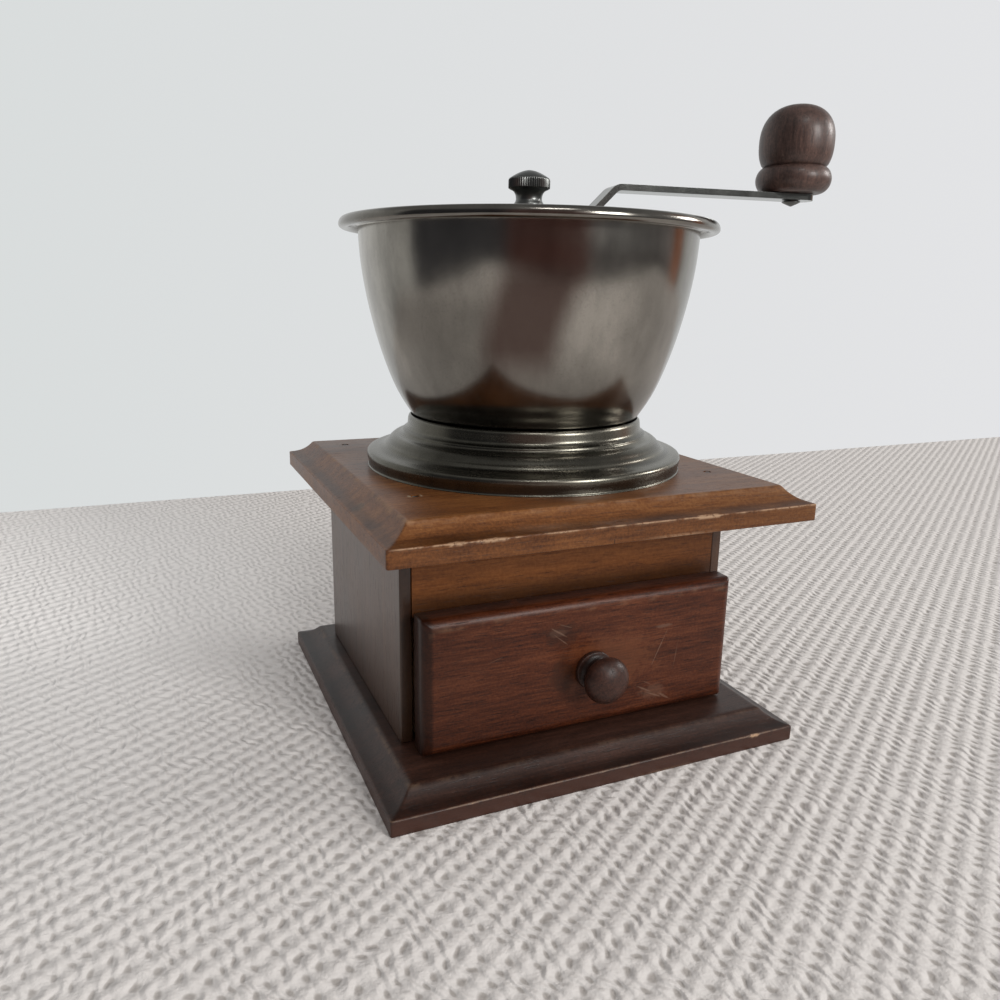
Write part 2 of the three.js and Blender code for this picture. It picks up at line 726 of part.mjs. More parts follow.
function burrHousing() {
  const flangeFoot = boardTop + seatGap;
  const outline = [
    [housingRadius - housingChamfer, housingEnd],
    [housingRadius, housingEnd + housingChamfer],
    [housingRadius, flangeFoot],
    [housingFlangeRadius, flangeFoot],
    [housingFlangeRadius, flangeFoot + housingFlangeThickness - housingChamfer],
    [housingFlangeRadius - housingChamfer, flangeFoot + housingFlangeThickness],
    [housingTopRadius, flangeFoot + housingFlangeThickness],
    [housingTopRadius, housingTop],
    [throatRadius, housingTop],
    [throatRadius, housingEnd + housingBoreDepth],
    [housingBoreRadius, housingEnd + housingBoreDepth],
    [housingBoreRadius, housingEnd],
  ];
  const hopperHoles = hopperScrewPlaces.map((at) =>
    post(hopperScrewRadius + seatGap, housingTop - hopperScrewLength, housingTop + overrun, at, screwSides),
  );
  const flangeHoles = housingScrewPlaces.map((at) =>
    post(housingScrewRadius + seatGap, boardTop - overrun, flangeFoot + housingFlangeThickness + overrun, at, screwSides),
  );
  const bridgeHoles = bridgeScrewPlaces.map((at) =>
    post(housingScrewRadius + seatGap, housingEnd - overrun, housingEnd + bridgeScrewLength, at, screwSides),
  );
  return cut(revolveRing(outline, middleSides), ...hopperHoles, ...flangeHoles, ...bridgeHoles);
}

// Heights and radii of the ring burr's inside, at the bottom of its teeth, from its foot up.
function ringBurrStations() {
  const rise = [0, burrWaistHeight / 2, burrWaistHeight, (burrWaistHeight + ringBurrHeight) / 2, ringBurrHeight];
  const middle = (burrLowerRadius + burrWaistRadius) / 2;
  const upper = (burrWaistRadius + burrUpperRadius) / 2;
  const radii = [burrLowerRadius, middle, burrWaistRadius, upper, burrUpperRadius];
  return rise.map((height, index) => ({ height, radius: radii[index] }));
}

// Teeth are ridges that lean round the axis as they climb.
function toothRadius(radius, depth, index) {
  return index % 2 ? radius : radius + depth;
}

function ringBurr() {
  const points = 2 * burrTeeth;
  const outer = housingBoreRadius - seatGap;
  const lean = (height) => (ringTwistShare * height) / ringBurrHeight;
  const stations = ringBurrStations();
  const inside = stations.map(({ height, radius }) =>
    ringAt(ringBurrFoot + height, points, (share) =>
      toothRadius(radius, -burrToothDepth, Math.round(share * points)), lean(height)),
  );
  const outside = stations.map(({ height }) => ringAt(ringBurrFoot + height, points, () => outer, lean(height)));
  return loft([...outside, ...inside.reverse()], true);
}

// The cone keeps the ring's slope below the waist, with its teeth inside the ring's.
function coneBurr() {
  const points = 2 * burrTeeth;
  const lean = (height) => (coneTwistShare * (height + coneLift)) / ringBurrHeight;
  const slope = (burrLowerRadius - burrWaistRadius) / burrWaistHeight;
  const inset = burrToothDepth + burrGap;
  const radiusAt = (height) => burrLowerRadius - slope * (height + coneLift) - inset;
  const waist = burrWaistHeight - coneLift;
  const fine = [0, waist / 2, waist].map((height) =>
    ringAt(coneFoot + height, points, (share) =>
      toothRadius(radiusAt(height), -burrToothDepth, Math.round(share * points)), lean(height)),
  );
  const neckStart = coneHeight - 2 * burrPinBelowTop;
  const lobeSpan = neckStart - waist;
  const lobeSteps = 5;
  const coarse = Array.from({ length: lobeSteps }, (_, step) => {
    const share = (step + 1) / lobeSteps;
    const height = waist + share * lobeSpan;
    const peak = radiusAt(waist) + share * (coneLobeRadius - radiusAt(waist));
    const valley = radiusAt(waist) - burrToothDepth + share * (coneNeckRadius - radiusAt(waist) + burrToothDepth);
    const twist = lean(waist) + share * coneLobeTwistShare;
    return ringAt(coneFoot + height, points, (around) =>
      valley + (peak - valley) * (0.5 + 0.5 * Math.cos(fullTurn * around * coneLobes)), twist);
  });
  const endTwist = lean(waist) + coneLobeTwistShare;
  const neck = [neckStart + seatGap, coneHeight].map((height) =>
    ringAt(coneFoot + height, points, () => coneNeckRadius, endTwist));
  const bore = post(shaftRadius + seatGap, coneFoot - overrun, coneTop + overrun);
  return cut(loft([...fine, ...coarse, ...neck]), bore, burrPinHole());
}

const burrPinHeight = coneTop - burrPinBelowTop;

function burrPinHole() {
  const half = burrPinLength;
  return post(burrPinRadius + seatGap, -half, half, [0, 0], screwSides).rotateX(quarterTurn).translate(0, 0, burrPinHeight);
}

function burrPin() {
  const half = burrPinLength / 2;
  return post(burrPinRadius, -half, half, [0, 0], screwSides).rotateX(quarterTurn).translate(0, 0, burrPinHeight);
}

// The lower bar crosses the open end of the housing and carries the foot of the shaft.
function lowerBar() {
  const half = bridgeScrewCircle + lowerBarWidth / 2;
  const bar = prism(roundEnded(half, lowerBarWidth / 2), lowerBarFoot, lowerBarTop);
  const bearing = post(bearingRadius, lowerBarFoot - overrun, lowerBarTop + overrun);
  const holes = bridgeScrewPlaces.map((at) =>
    post(housingScrewRadius + seatGap, lowerBarFoot - overrun, lowerBarTop + overrun, at, screwSides),
  );
  return cut(bar, bearing, ...holes);
}

// Outline of a strip along X with half-round ends.
function roundEnded(half, radius) {
  const steps = 8;
  return [
    ...arcPoints([half - radius, 0], radius, radius, -quarterTurn, quarterTurn, steps),
    ...arcPoints([radius - half, 0], radius, radius, quarterTurn, 3 * quarterTurn, steps),
  ];
}

// A ring of points round a square, placed at the same angles as those of a circle.
function squareRing(height, count, across) {
  return ringAt(height, count, (share) => {
    const angle = share * fullTurn;
    return across / 2 / Math.max(Math.abs(Math.cos(angle)), Math.abs(Math.sin(angle)));
  });
}

function driveShaft() {
  const circle = (height, radius) => ringAt(height, smallSides, () => radius);
  const collarFoot = shaftCollarTop - shaftCollarHeight;
  const shoulder = stopPlateFoot - seatGap;
  const squareTop = crankHubTop - seatGap;
  const stubTop = squareTop + shaftStubLength;
  const shaft = loft([
    circle(shaftFoot, shaftRadius - shaftEndChamfer),
    circle(shaftFoot + shaftEndChamfer, shaftRadius),
    circle(collarFoot, shaftRadius),
    circle(collarFoot, shaftCollarRadius),
    circle(shaftCollarTop, shaftCollarRadius),
    circle(shaftCollarTop, shaftRadius),
    circle(shoulder, shaftRadius),
    squareRing(shoulder, smallSides, shaftSquare),
    squareRing(squareTop, smallSides, shaftSquare),
    circle(squareTop, shaftStubRadius),
    circle(stubTop - shaftEndChamfer, shaftStubRadius),
    circle(stubTop, shaftStubRadius - shaftEndChamfer),
  ]);
  return cut(shaft, burrPinHole());
}

// The cross bar is a strap bent down at both ends, where it follows the bowl's wall.
function crossBar() {
  const reach = bowlMouthRadius + overrun;
  const foot = crossBarTop - crossBarTab;
  const innerFaceAt = (height) => bowlRadiusAt(height) - bowlThickness - seatGap - crossBarThickness;
  const footX = innerFaceAt(foot);
  const bendX = innerFaceAt(crossBarFoot - crossBarBend);
  const right = [
    [reach, foot],
    [reach, crossBarTop],
  ];
  const underside = [
    [-footX, foot],
    ...arcPoints([-bendX + crossBarBend, crossBarFoot - crossBarBend], crossBarBend, crossBarBend,
      2 * quarterTurn, quarterTurn, 4),
    ...arcPoints([bendX - crossBarBend, crossBarFoot - crossBarBend], crossBarBend, crossBarBend,
      quarterTurn, 0, 4),
    [footX, foot],
  ];
  const outline = [...underside, ...right, [-reach, crossBarTop], [-reach, foot]];
  const half = crossBarWidth / 2;
  const strap = prism(outline, -half, half).rotateX(quarterTurn);
  const inside = insetWall(bowlThickness + seatGap);
  const core = revolve([[0, inside[0][1]], ...inside, [0, inside[inside.length - 1][1]]]);
  const bearing = post(bushRadius + seatGap, crossBarFoot - overrun, crossBarTop + overrun);
  return cut(common(strap, core), bearing);
}

function crossBarBush() {
  const outline = [
    [bearingRadius, crossBarFoot],
    [bushRadius, crossBarFoot],
    [bushRadius, crossBarTop + seatGap],
    [bushFlangeRadius, crossBarTop + seatGap],
    [bushFlangeRadius, bushTop],
    [bearingRadius, bushTop],
  ];
  return revolveRing(outline, smallSides);
}

// One unbroken wire: a helix whose ends run level for the last quarter turn.
const springSteps = 8;
const springSides = 5;

function springPoint(share) {
  const angle = share * springTurns * fullTurn;
  const wire = springWire / 2;
  const restShare = 1 / (4 * springTurns);
  const climb = THREE.MathUtils.clamp((share - restShare) / (1 - 2 * restShare), 0, 1);
  const height = shaftCollarTop + seatGap + wire + climb * (springHeight - springWire);
  return new THREE.Vector3(springRadius * Math.cos(angle), springRadius * Math.sin(angle), height);
}

function burrSpring() {
  const steps = springTurns * springSteps;
  const rings = Array.from({ length: steps + 1 }, (_, step) => {
    const centre = springPoint(step / steps);
    const outward = new THREE.Vector3(centre.x, centre.y, 0).normalize();
    return Array.from({ length: springSides }, (_, side) => {
      const angle = (-side / springSides) * fullTurn;
      const point = centre.clone();
      point.addScaledVector(outward, (springWire / 2) * Math.cos(angle));
      point.z += (springWire / 2) * Math.sin(angle);
      return point.toArray();
    });
  });
  return loft(rings);
}

function printSpringGap() {
  const pitch = (springHeight - springWire) / (springTurns - 0.5);
  console.log("least gap between the spring's turns: " + (pitch - springWire).toFixed(2) + " mm");
}

function springWasher() {
  const outline = [
    [bearingRadius, springWasherFoot],
    [shaftCollarRadius, springWasherFoot],
    [shaftCollarRadius, springWasherFoot + springWasherThickness],
    [bearingRadius, springWasherFoot + springWasherThickness],
  ];
  return revolveRing(outline, smallSides);
}

// Rings of a knurled band: every second point lies at the bottom of a groove.
function knurledRing(height, radius, count, depth) {
  return ringAt(height, 2 * count, (share) => toothRadius(radius, -depth, Math.round(share * 2 * count)));
}

function adjustingNut() {
  const count = knurls;
  const plain = (height, radius) => ringAt(height, 2 * count, () => radius);
  const bandTop = adjusterFoot + adjusterKnurlHeight;
  const top = adjusterFoot + adjusterHeight;
  const nut = loft([
    plain(adjusterFoot, adjusterRadius - 2 * knurlDepth),
    knurledRing(adjusterFoot + knurlDepth, adjusterRadius, count, knurlDepth),
    knurledRing(bandTop - knurlDepth, adjusterRadius, count, knurlDepth),
    plain(bandTop, adjusterRadius - 2 * knurlDepth),
    plain(bandTop + knurlDepth, adjusterHubRadius),
    plain(top, adjusterHubRadius),
  ]);
  return cut(nut, post(bearingRadius, adjusterFoot - overrun, top + overrun));
}

function stopPlate() {
  const top = stopPlateFoot + stopPlateThickness;
  const disc = post(stopPlateRadius, stopPlateFoot, top, [0, 0], smallSides);
  const half = shaftSquare / 2 + seatGap;
  const hole = block([-half, -half, stopPlateFoot - overrun], [half, half, top + overrun]);
  const notch = post(stopPlateNotch / 2, stopPlateFoot - overrun, top + overrun, [0, stopPlateRadius], screwSides);
  return cut(disc, hole, notch);
}

// Side view of the crank: a strip of even thickness with two bends, along X and Z.
function crankSide() {
  const slope = THREE.MathUtils.degToRad(crankSlopeDegrees);
  const inner = crankBend;
  const outer = crankBend + crankThickness;
  const start = -crankHubRadius - overrun;
  const end = crankLength + crankTail + overrun;
  const slopeEnd = crankRiseStart + crankRise / Math.tan(slope);
  const lowerCentre = [crankRiseStart - outer * Math.tan(slope / 2), crankHubFoot + outer];
  const upperCentre = [slopeEnd + inner * Math.tan(slope / 2), crankOuterFoot - inner];
  const steps = 5;
  const outline = [
    [start, crankHubFoot],
    ...arcPoints(lowerCentre, outer, outer, -quarterTurn, slope - quarterTurn, steps),
    ...arcPoints(upperCentre, inner, inner, quarterTurn + slope, quarterTurn, steps),
    [end, crankOuterFoot],
    [end, crankOuterTop],
    ...arcPoints(upperCentre, outer, outer, quarterTurn, quarterTurn + slope, steps),
    ...arcPoints(lowerCentre, inner, inner, slope - quarterTurn, -quarterTurn, steps),
    [start, crankHubTop],
  ];
  return prism(outline, -crankHubRadius - overrun, crankHubRadius + overrun).rotateX(quarterTurn);
}

// View from above: a round eye on the shaft that draws in to the strip, and a rounded end.
function crankPlan() {
  const half = crankWidth / 2;
  const eyeAngle = quarterTurn / 2;
  const outline = [
    ...arcPoints([crankLength + crankTail - half, 0], half, half, -quarterTurn, quarterTurn, 8),
    [2 * crankHubRadius, half],
    ...arcPoints([0, 0], crankHubRadius, crankHubRadius, eyeAngle, fullTurn - eyeAngle, 16),
    [2 * crankHubRadius, -half],
  ];
  return prism(outline, crankHubFoot - overrun, crankOuterTop + overrun);
}

function crankArm() {
  const half = shaftSquare / 2 + seatGap;
  const squareHole = block([-half, -half, crankHubFoot - overrun], [half, half, crankHubTop + overrun]);
  const spindleHole = post(
    spindleRadius + bearingClearance, crankOuterFoot - overrun, crankOuterTop + overrun, [crankLength, 0],
  );
  return cut(common(crankSide(), crankPlan()), squareHole, spindleHole);
}

// The cap nut has a waisted neck, a knurled band and a low domed top.
function capNut() {
  const count = knurls;
  const plain = (height, radius) => ringAt(capNutFoot + height, 2 * count, () => radius);
  const bandTop = capNutUnderside + capNutBand;
  const neck = arcPoints(
    [capNutRadius, capNutFootHeight],
    capNutRadius - capNutNeckRadius, capNutUnderside - capNutFootHeight, 2 * quarterTurn, quarterTurn, 3,
  ).map(([radius, height]) => plain(height, Math.min(radius, capNutRadius - 2 * knurlDepth)));
  const dome = arcPoints([0, bandTop], capNutRadius - knurlDepth, capNutDome, 0, capNutDomeShare * quarterTurn, 3)
    .slice(1)
    .map(([radius, height]) => plain(height, radius));
  const nut = loft([
    plain(0, capNutFootRadius),
    plain(capNutFootHeight / 3, capNutFootRadius),
    ...neck,
    knurledRing(capNutFoot + capNutUnderside + knurlDepth, capNutRadius, count, knurlDepth),
    knurledRing(capNutFoot + bandTop - knurlDepth, capNutRadius, count, knurlDepth),
    ...dome,
  ]);
  const bore = post(shaftStubRadius + seatGap, capNutFoot - overrun, capNutFoot + capNutBoreDepth);
  return cut(nut, bore);
}

// The knob is a low ring under a full round body, with a crease between them.
function crankKnob() {
  const ringMiddle = knobRingHalfHeight;
  const foot = Math.asin((knobNeckHeight - ringMiddle) / (knobRingHalfHeight + seatGap));
  const ring = arcPoints(
    [knobRingInnerRadius, ringMiddle], knobRingRound, knobRingHalfHeight + seatGap, -quarterTurn, foot, 7,
  ).map(([radius, height]) => [radius, Math.max(height, 0)]);
  const bodySteps = 8;
  const bodyStart = (knobNeckHeight - knobBodyMiddle) / knobBodyHalfHeight;
  const body = Array.from({ length: bodySteps + 1 }, (_, step) => {
    const angle = Math.asin(bodyStart) + ((quarterTurn - Math.asin(bodyStart)) * step) / bodySteps;
    const rise = Math.sin(angle);
    const radius = knobBodyRadius * Math.max(1 - Math.abs(rise) ** knobRoundness, 0) ** (1 / knobRoundness);
    return [radius, knobBodyMiddle + rise * knobBodyHalfHeight];
  });
  body[bodySteps][0] = 0;
  const outline = [[0, 0], ...ring, ...body].map(([radius, height]) => [radius, knobFoot + height]);
  const bore = post(spindleRadius + seatGap, knobFoot - overrun, knobFoot + knobBoreDepth);
  return cut(revolve(outline, middleSides), bore).translate(crankLength, 0, 0);
}

function knobSpindle() {
  const headTop = crankOuterFoot - seatGap;
  const outline = [
    [0, headTop - spindleHeadHeight],
    [spindleHeadRadius, headTop - spindleHeadHeight / 5],
    [spindleHeadRadius, headTop],
    [spindleRadius, headTop],
    [spindleRadius, knobFoot + knobBoreDepth - seatGap],
    [0, knobFoot + knobBoreDepth - seatGap],
  ];
  return revolve(outline, smallSides).translate(crankLength, 0, 0);
}

function buildCase() {
  place(group, "base_board", mouldedBoard(baseSide, baseBand, baseHeight), materials.caseWood);
  place(group, "left_side_panel", sidePanel(-1), materials.caseWood);
  place(group, "right_side_panel", sidePanel(1), materials.caseWood);
  place(group, "back_panel", backPanel(), materials.caseWood);
  place(group, "front_rail", frontRail(), materials.caseWood);
  place(group, "top_board", topBoard(), materials.caseWood);
  for (const [corner, at] of Object.entries(bradPlaces)) {
    place(group, "brad_" + corner, brad(at), materials.darkSteel);
  }
}

function buildHopper() {
  place(group, "hopper_bowl", hopperBowl(), materials.hopperMetal);
  place(group, "hopper_collar", hopperCollar(), materials.hopperMetal);
  place(group, "hopper_cross_bar", crossBar(), materials.darkSteel);
  place(group, "cross_bar_bush", crossBarBush(), materials.bushMetal);
  place(group, "burr_housing", burrHousing(), materials.castIron);
  place(group, "ring_burr", ringBurr(), materials.castIron);
  place(group, "lower_bearing_bar", lowerBar(), materials.darkSteel);
  hopperScrewPlaces.forEach((at, index) => {
    const seat = bowlFloor + bowlThickness + seatGap;
    const length = hopperScrewLength - seatGap;
    const screw = slottedScrew(
      hopperScrewRadius, hopperScrewHeadRadius, hopperScrewHeadHeight, length, seat, at,
    );
    place(group, "hopper_screw_" + (index + 1), screw, materials.darkSteel);
  });
  housingScrewPlaces.forEach((at, index) => {
    const seat = boardTop + seatGap + housingFlangeThickness + seatGap;
    const screw = slottedScrew(
      housingScrewRadius, housingScrewHeadRadius, housingScrewHeadHeight, housingScrewLength, seat, at,
    );
    place(group, "housing_screw_" + (index + 1), screw, materials.darkSteel);
  });
  bridgeScrewPlaces.forEach((at, index) => {
    const screw = slottedScrew(
      housingScrewRadius, housingScrewHeadRadius, housingScrewHeadHeight, bridgeScrewLength,
      lowerBarFoot - seatGap, at, -1,
    );
    place(group, "bearing_bar_screw_" + (index + 1), screw, materials.darkSteel);
  });
}

// Everything that turns with the crank, built along +X and then turned to where it stands.
function buildCrank() {
  const crank = new THREE.Group();
  crank.rotation.z = THREE.MathUtils.degToRad(crankRestDegrees);
  group.add(crank);
  place(crank, "drive_shaft", driveShaft(), materials.darkSteel);
  place(crank, "cone_burr", coneBurr(), materials.castIron);
  place(crank, "burr_pin", burrPin(), materials.darkSteel);
  place(crank, "burr_spring", burrSpring(), materials.crankSteel);
  place(crank, "spring_washer", springWasher(), materials.darkSteel);
  place(crank, "adjusting_nut", adjustingNut(), materials.darkSteel);
  place(crank, "stop_plate", stopPlate(), materials.crankSteel);
  place(crank, "crank_arm", crankArm(), materials.crankSteel);
  place(crank, "cap_nut", capNut(), materials.darkSteel);
  place(crank, "crank_knob", crankKnob(), materials.knobWood);
  place(crank, "knob_spindle", knobSpindle(), materials.darkSteel);
}

function buildDrawer() {
  place(group, "drawer_front", drawerFront(), materials.drawerWood);
  place(group, "drawer_left_side", drawerSide(-1), materials.innerWood);
  place(group, "drawer_right_side", drawerSide(1), materials.innerWood);
  place(group, "drawer_back", drawerRear(), materials.innerWood);
  place(group, "drawer_bottom", drawerBottom(), materials.innerWood);
  place(group, "drawer_knob", drawerKnob(), materials.knobWood);
  place(group, "drawer_knob_screw", drawerKnobScrew(), materials.darkSteel);
}

buildCase();
buildHopper();
buildCrank();
buildDrawer();
printSpringGap();

export default group;
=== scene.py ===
"""Looks of a box coffee mill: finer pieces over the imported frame, materials, light and camera.

Blender works in metres. A size here is in millimetres times MM, heights are taken from the frame where it
has them, and the Z axis through the origin is the grinding axis.
"""

import json
import math

import bmesh
import bpy
from mathutils import Matrix, Vector, noise

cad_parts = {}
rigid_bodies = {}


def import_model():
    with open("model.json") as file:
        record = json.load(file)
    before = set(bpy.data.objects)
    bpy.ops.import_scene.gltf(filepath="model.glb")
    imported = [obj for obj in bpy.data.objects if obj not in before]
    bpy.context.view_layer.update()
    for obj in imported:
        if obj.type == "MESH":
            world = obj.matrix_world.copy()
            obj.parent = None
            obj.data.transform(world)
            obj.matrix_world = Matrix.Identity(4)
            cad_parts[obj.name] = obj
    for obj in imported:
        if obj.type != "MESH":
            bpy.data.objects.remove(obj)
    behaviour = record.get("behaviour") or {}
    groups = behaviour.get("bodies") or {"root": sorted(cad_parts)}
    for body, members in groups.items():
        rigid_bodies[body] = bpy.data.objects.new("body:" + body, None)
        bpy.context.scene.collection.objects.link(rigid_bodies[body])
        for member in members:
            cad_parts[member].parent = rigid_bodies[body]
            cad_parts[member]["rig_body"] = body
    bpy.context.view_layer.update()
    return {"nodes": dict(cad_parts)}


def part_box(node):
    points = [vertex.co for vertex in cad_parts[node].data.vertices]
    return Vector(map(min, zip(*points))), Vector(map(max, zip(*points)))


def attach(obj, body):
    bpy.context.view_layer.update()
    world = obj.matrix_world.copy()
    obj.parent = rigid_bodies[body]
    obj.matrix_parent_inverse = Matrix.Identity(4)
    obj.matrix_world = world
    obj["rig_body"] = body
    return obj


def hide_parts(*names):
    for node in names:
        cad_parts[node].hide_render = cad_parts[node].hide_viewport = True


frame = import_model()

MM = 0.001
QUARTER = math.pi / 2
TURN = 2 * math.pi
ON_AXIS = 1e-9  # a smaller radius lies on the axis
SHARP = 38  # degrees between faces over which an edge isn't smoothed

# Where the crank stands at rest
CRANK_ANGLE = math.radians(-8.4)
CRANK_LENGTH = 105.4 * MM

# Camera, fitted to the photograph, on a sensor 36 mm wide
CAMERA_PLACE = (-131.961 * MM, -279.236 * MM, 155.437 * MM)
CAMERA_AZIMUTH = math.radians(-23.756)
CAMERA_PITCH = math.radians(14.078)
CAMERA_ROLL = math.radians(1.032)
CAMERA_LENS = 29.708


# Meshes

def new_piece(points, faces, tones=None, sharp_degrees=SHARP):
    """A smooth mesh object. tones maps an attribute's name to one value for each point."""
    mesh = bpy.data.meshes.new("piece")
    mesh.from_pydata([tuple(p) for p in points], [], faces)
    mesh.validate()
    for tone, values in (tones or {}).items():
        attribute = mesh.attributes.new(tone, "FLOAT", "POINT")
        attribute.data.foreach_set("value", values)
    shade(mesh, sharp_degrees)
    return new_object(mesh)


def new_object(data):
    made = bpy.data.objects.new(data.name, data)
    bpy.context.scene.collection.objects.link(made)
    return made


def shade(mesh, sharp_degrees):
    mesh.polygons.foreach_set("use_smooth", [True] * len(mesh.polygons))
    mesh.set_sharp_from_angle(angle=math.radians(sharp_degrees))
    mesh.update()


def dress(piece, node, finish):
    """The piece stands for a CAD node, takes its place and moves with its body. finish names its material."""
    piece.name = piece.data.name = node + "_dressed"
    piece.data.materials.clear()
    piece.data.materials.append(materials[finish])
    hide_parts(node)
    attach(piece, frame["nodes"][node]["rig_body"])
    return piece


def skin(rings):
    """Points and faces through rings of as many points each, counterclockwise and stacked upwards. The first
    and the last ring are closed by a face."""
    count = len(rings[0])
    points = [p for ring in rings for p in ring]
    last = len(points) - count
    faces = []
    for lower in range(0, last, count):
        upper = lower + count
        for side in range(count):
            after = (side + 1) % count
            faces.append((lower + side, lower + after, upper + after, upper + side))
    faces.append(tuple(reversed(range(count))))
    faces.append(tuple(range(last, len(points))))
    return points, faces


def turned(outline, sides, tones=None, sharp_degrees=SHARP):
    """Turns (radius, height) pairs about +Z, up the outside and down the inside. Points on the axis are
    shared. tones maps an attribute's name to a list with one value for each pair, or to a function of the
    pair's index and the angle."""
    points, faces, rows = [], [], []
    values = {tone: [] for tone in (tones or {})}
    for index, (radius, height) in enumerate(outline):
        count = 1 if radius < ON_AXIS else sides
        rows.append([len(points) + side for side in range(count)])
        for side in range(count):
            angle = TURN * side / sides
            points.append((radius * math.cos(angle), radius * math.sin(angle), height))
            for tone, source in (tones or {}).items():
                values[tone].append(source(index, angle) if callable(source) else source[index])
    pairs = list(zip(rows, rows[1:]))
    if outline[0][0] > ON_AXIS:
        pairs.append((rows[-1], rows[0]))
    for lower, upper in pairs:
        for side in range(sides):
            after = (side + 1) % sides
            corners = [lower[side % len(lower)], lower[after % len(lower)],
                       upper[after % len(upper)], upper[side % len(upper)]]
            face = list(dict.fromkeys(corners))
            if len(face) > 2:
                faces.append(face)
    return new_piece(points, faces, values, sharp_degrees)


def arc(centre, radius_x, radius_y, start, end, steps):
    """Points of a stretch of an ellipse, both ends included."""
    return [
        (centre[0] + radius_x * math.cos(angle), centre[1] + radius_y * math.sin(angle))
        for angle in (start + (end - start) * step / steps for step in range(steps + 1))
    ]


def curve_through(points, steps):
    """A smooth line through points, with as many steps between each two."""
    out = []
    for index in range(len(points) - 1):
        p0, p1 = points[max(index - 1, 0)], points[index]
        p2, p3 = points[index + 1], points[min(index + 2, len(points) - 1)]
        for step in range(steps):
            t = step / steps
            out.append(tuple(
                0.5 * (2 * b + (c - a) * t + (2 * a - 5 * b + 4 * c - d) * t * t
                       + (3 * b - a - 3 * c + d) * t ** 3)
                for a, b, c, d in zip(p0, p1, p2, p3)
            ))
    out.append(tuple(points[-1]))
    return out


def offset_line(line, distance):
    """The line of (radius, height) pairs moved square to itself, to its left."""
    moved = []
    for index, (radius, height) in enumerate(line):
        r0, z0 = line[max(index - 1, 0)]
        r1, z1 = line[min(index + 1, len(line) - 1)]
        along = math.hypot(r1 - r0, z1 - z0)
        moved.append((radius - distance * (z1 - z0) / along, height + distance * (r1 - r0) / along))
    return moved


def round_corner(place, radius, first, second, steps):
    """Points round a corner of an outline that turns from one slope to a flatter one, in radians."""
    run = radius * math.tan((first - second) / 2)
    centre = (place[0] - run * math.cos(first) + radius * math.sin(first),
              place[1] - run * math.sin(first) - radius * math.cos(first))
    angles = [first + (second - first) * step / steps for step in range(steps + 1)]
    return [(centre[0] - radius * math.sin(a), centre[1] + radius * math.cos(a)) for a in angles]


def smooth_step(low, high, value):
    """0 up to low, 1 from high on, and a soft rise between. Where high is the lower, it falls instead."""
    t = min(max((value - low) / (high - low), 0), 1)
    return t * t * (3 - 2 * t)


def between(value, start, full, fading, end):
    """A soft hump: it rises from start to full and falls from fading to end."""
    return smooth_step(start, full, value) * smooth_step(end, fading, value)


def near(value, middle, reach):
    """1 at the middle, falling to 0 at that reach."""
    return smooth_step(1, 0, abs(value - middle) / reach)


def roughly(place, size, seed):
    """Smooth noise from -1 to 1 with features of about that size, in metres. The seed picks where it starts."""
    return noise.noise(Vector(place) / size + Vector((seed * 7.31, seed * 3.17, seed * 5.53)))


# Node trees

def add(tree, kind, links=None, **settings):
    """A new node. links maps an input's name or number to a value or to another node's output."""
    made = tree.nodes.new("ShaderNode" + kind)
    for key, value in settings.items():
        setattr(made, key, value)
    for key, value in (links or {}).items():
        if isinstance(value, bpy.types.NodeSocket):
            tree.links.new(value, made.inputs[key])
        else:
            colour = made.inputs[key].type == "RGBA"
            made.inputs[key].default_value = (*value, 1) if colour else value
    return made


# What works on a node's output adds its own node to the same tree

def maths(operation, first, second=0.5, clamp=False):
    return add(first.id_data, "Math", {0: first, 1: second}, operation=operation, use_clamp=clamp).outputs[0]


def times(first, second, clamp=False):
    return maths("MULTIPLY", first, second, clamp)


def plus(first, second, clamp=False):
    return maths("ADD", first, second, clamp)


def about_half(value, factor):
    """How far the value is from a half, times a factor."""
    return times(maths("SUBTRACT", value, 0.5), factor)


def ramp(value, stops):
    """A colour ramp through (place, colour) stops."""
    made = add(value.id_data, "ValToRGB", {0: value})
    elements = made.color_ramp.elements
    while len(elements) < len(stops):
        elements.new(0.5)
    for element, (place, colour) in zip(elements, stops):
        element.position = place
        element.color = (*colour, 1)
    return made.outputs[0]


def spread(value, low, high, to_low=0.0, to_high=1.0):
    return add(value.id_data, "MapRange", {0: value, 1: low, 2: high, 3: to_low, 4: to_high},
               interpolation_type="SMOOTHSTEP").outputs[0]


def blend_colour(factor, first, second):
    return add(factor.id_data, "Mix", {0: factor, 6: first, 7: second}, data_type="RGBA").outputs[2]


def mapped(tree, location, rotation, scale, kind="POINT"):
    """The point in the piece's own frame, in metres, after a mapping."""
    place = add(tree, "TexCoord").outputs["Object"]
    return add(tree, "Mapping", {"Vector": place, "Location": location, "Rotation": rotation, "Scale": scale},
               vector_type=kind).outputs[0]


def noise_at(tree, features, shift=(0, 0, 0), detail=3.0, roughness=0.5, distortion=0.0):
    """Smooth noise with that many features a metre, given for each axis or for all."""
    stretch = features if isinstance(features, (tuple, list)) else (features,) * 3
    place = mapped(tree, shift, (0, 0, 0), stretch)
    return add(tree, "TexNoise", {"Vector": place, "Scale": 1, "Detail": detail, "Roughness": roughness,
                                  "Distortion": distortion}).outputs[0]


def far_from(tree, middle, turn, reach):
    """How far the point is from the middle, as a share of the reach along each of the turned axes."""
    local = mapped(tree, middle, turn, reach, "TEXTURE")
    return add(tree, "VectorMath", {0: local}, operation="LENGTH").outputs["Value"]


def tone_of(tree, name):
    return add(tree, "Attribute", attribute_name=name).outputs["Fac"]


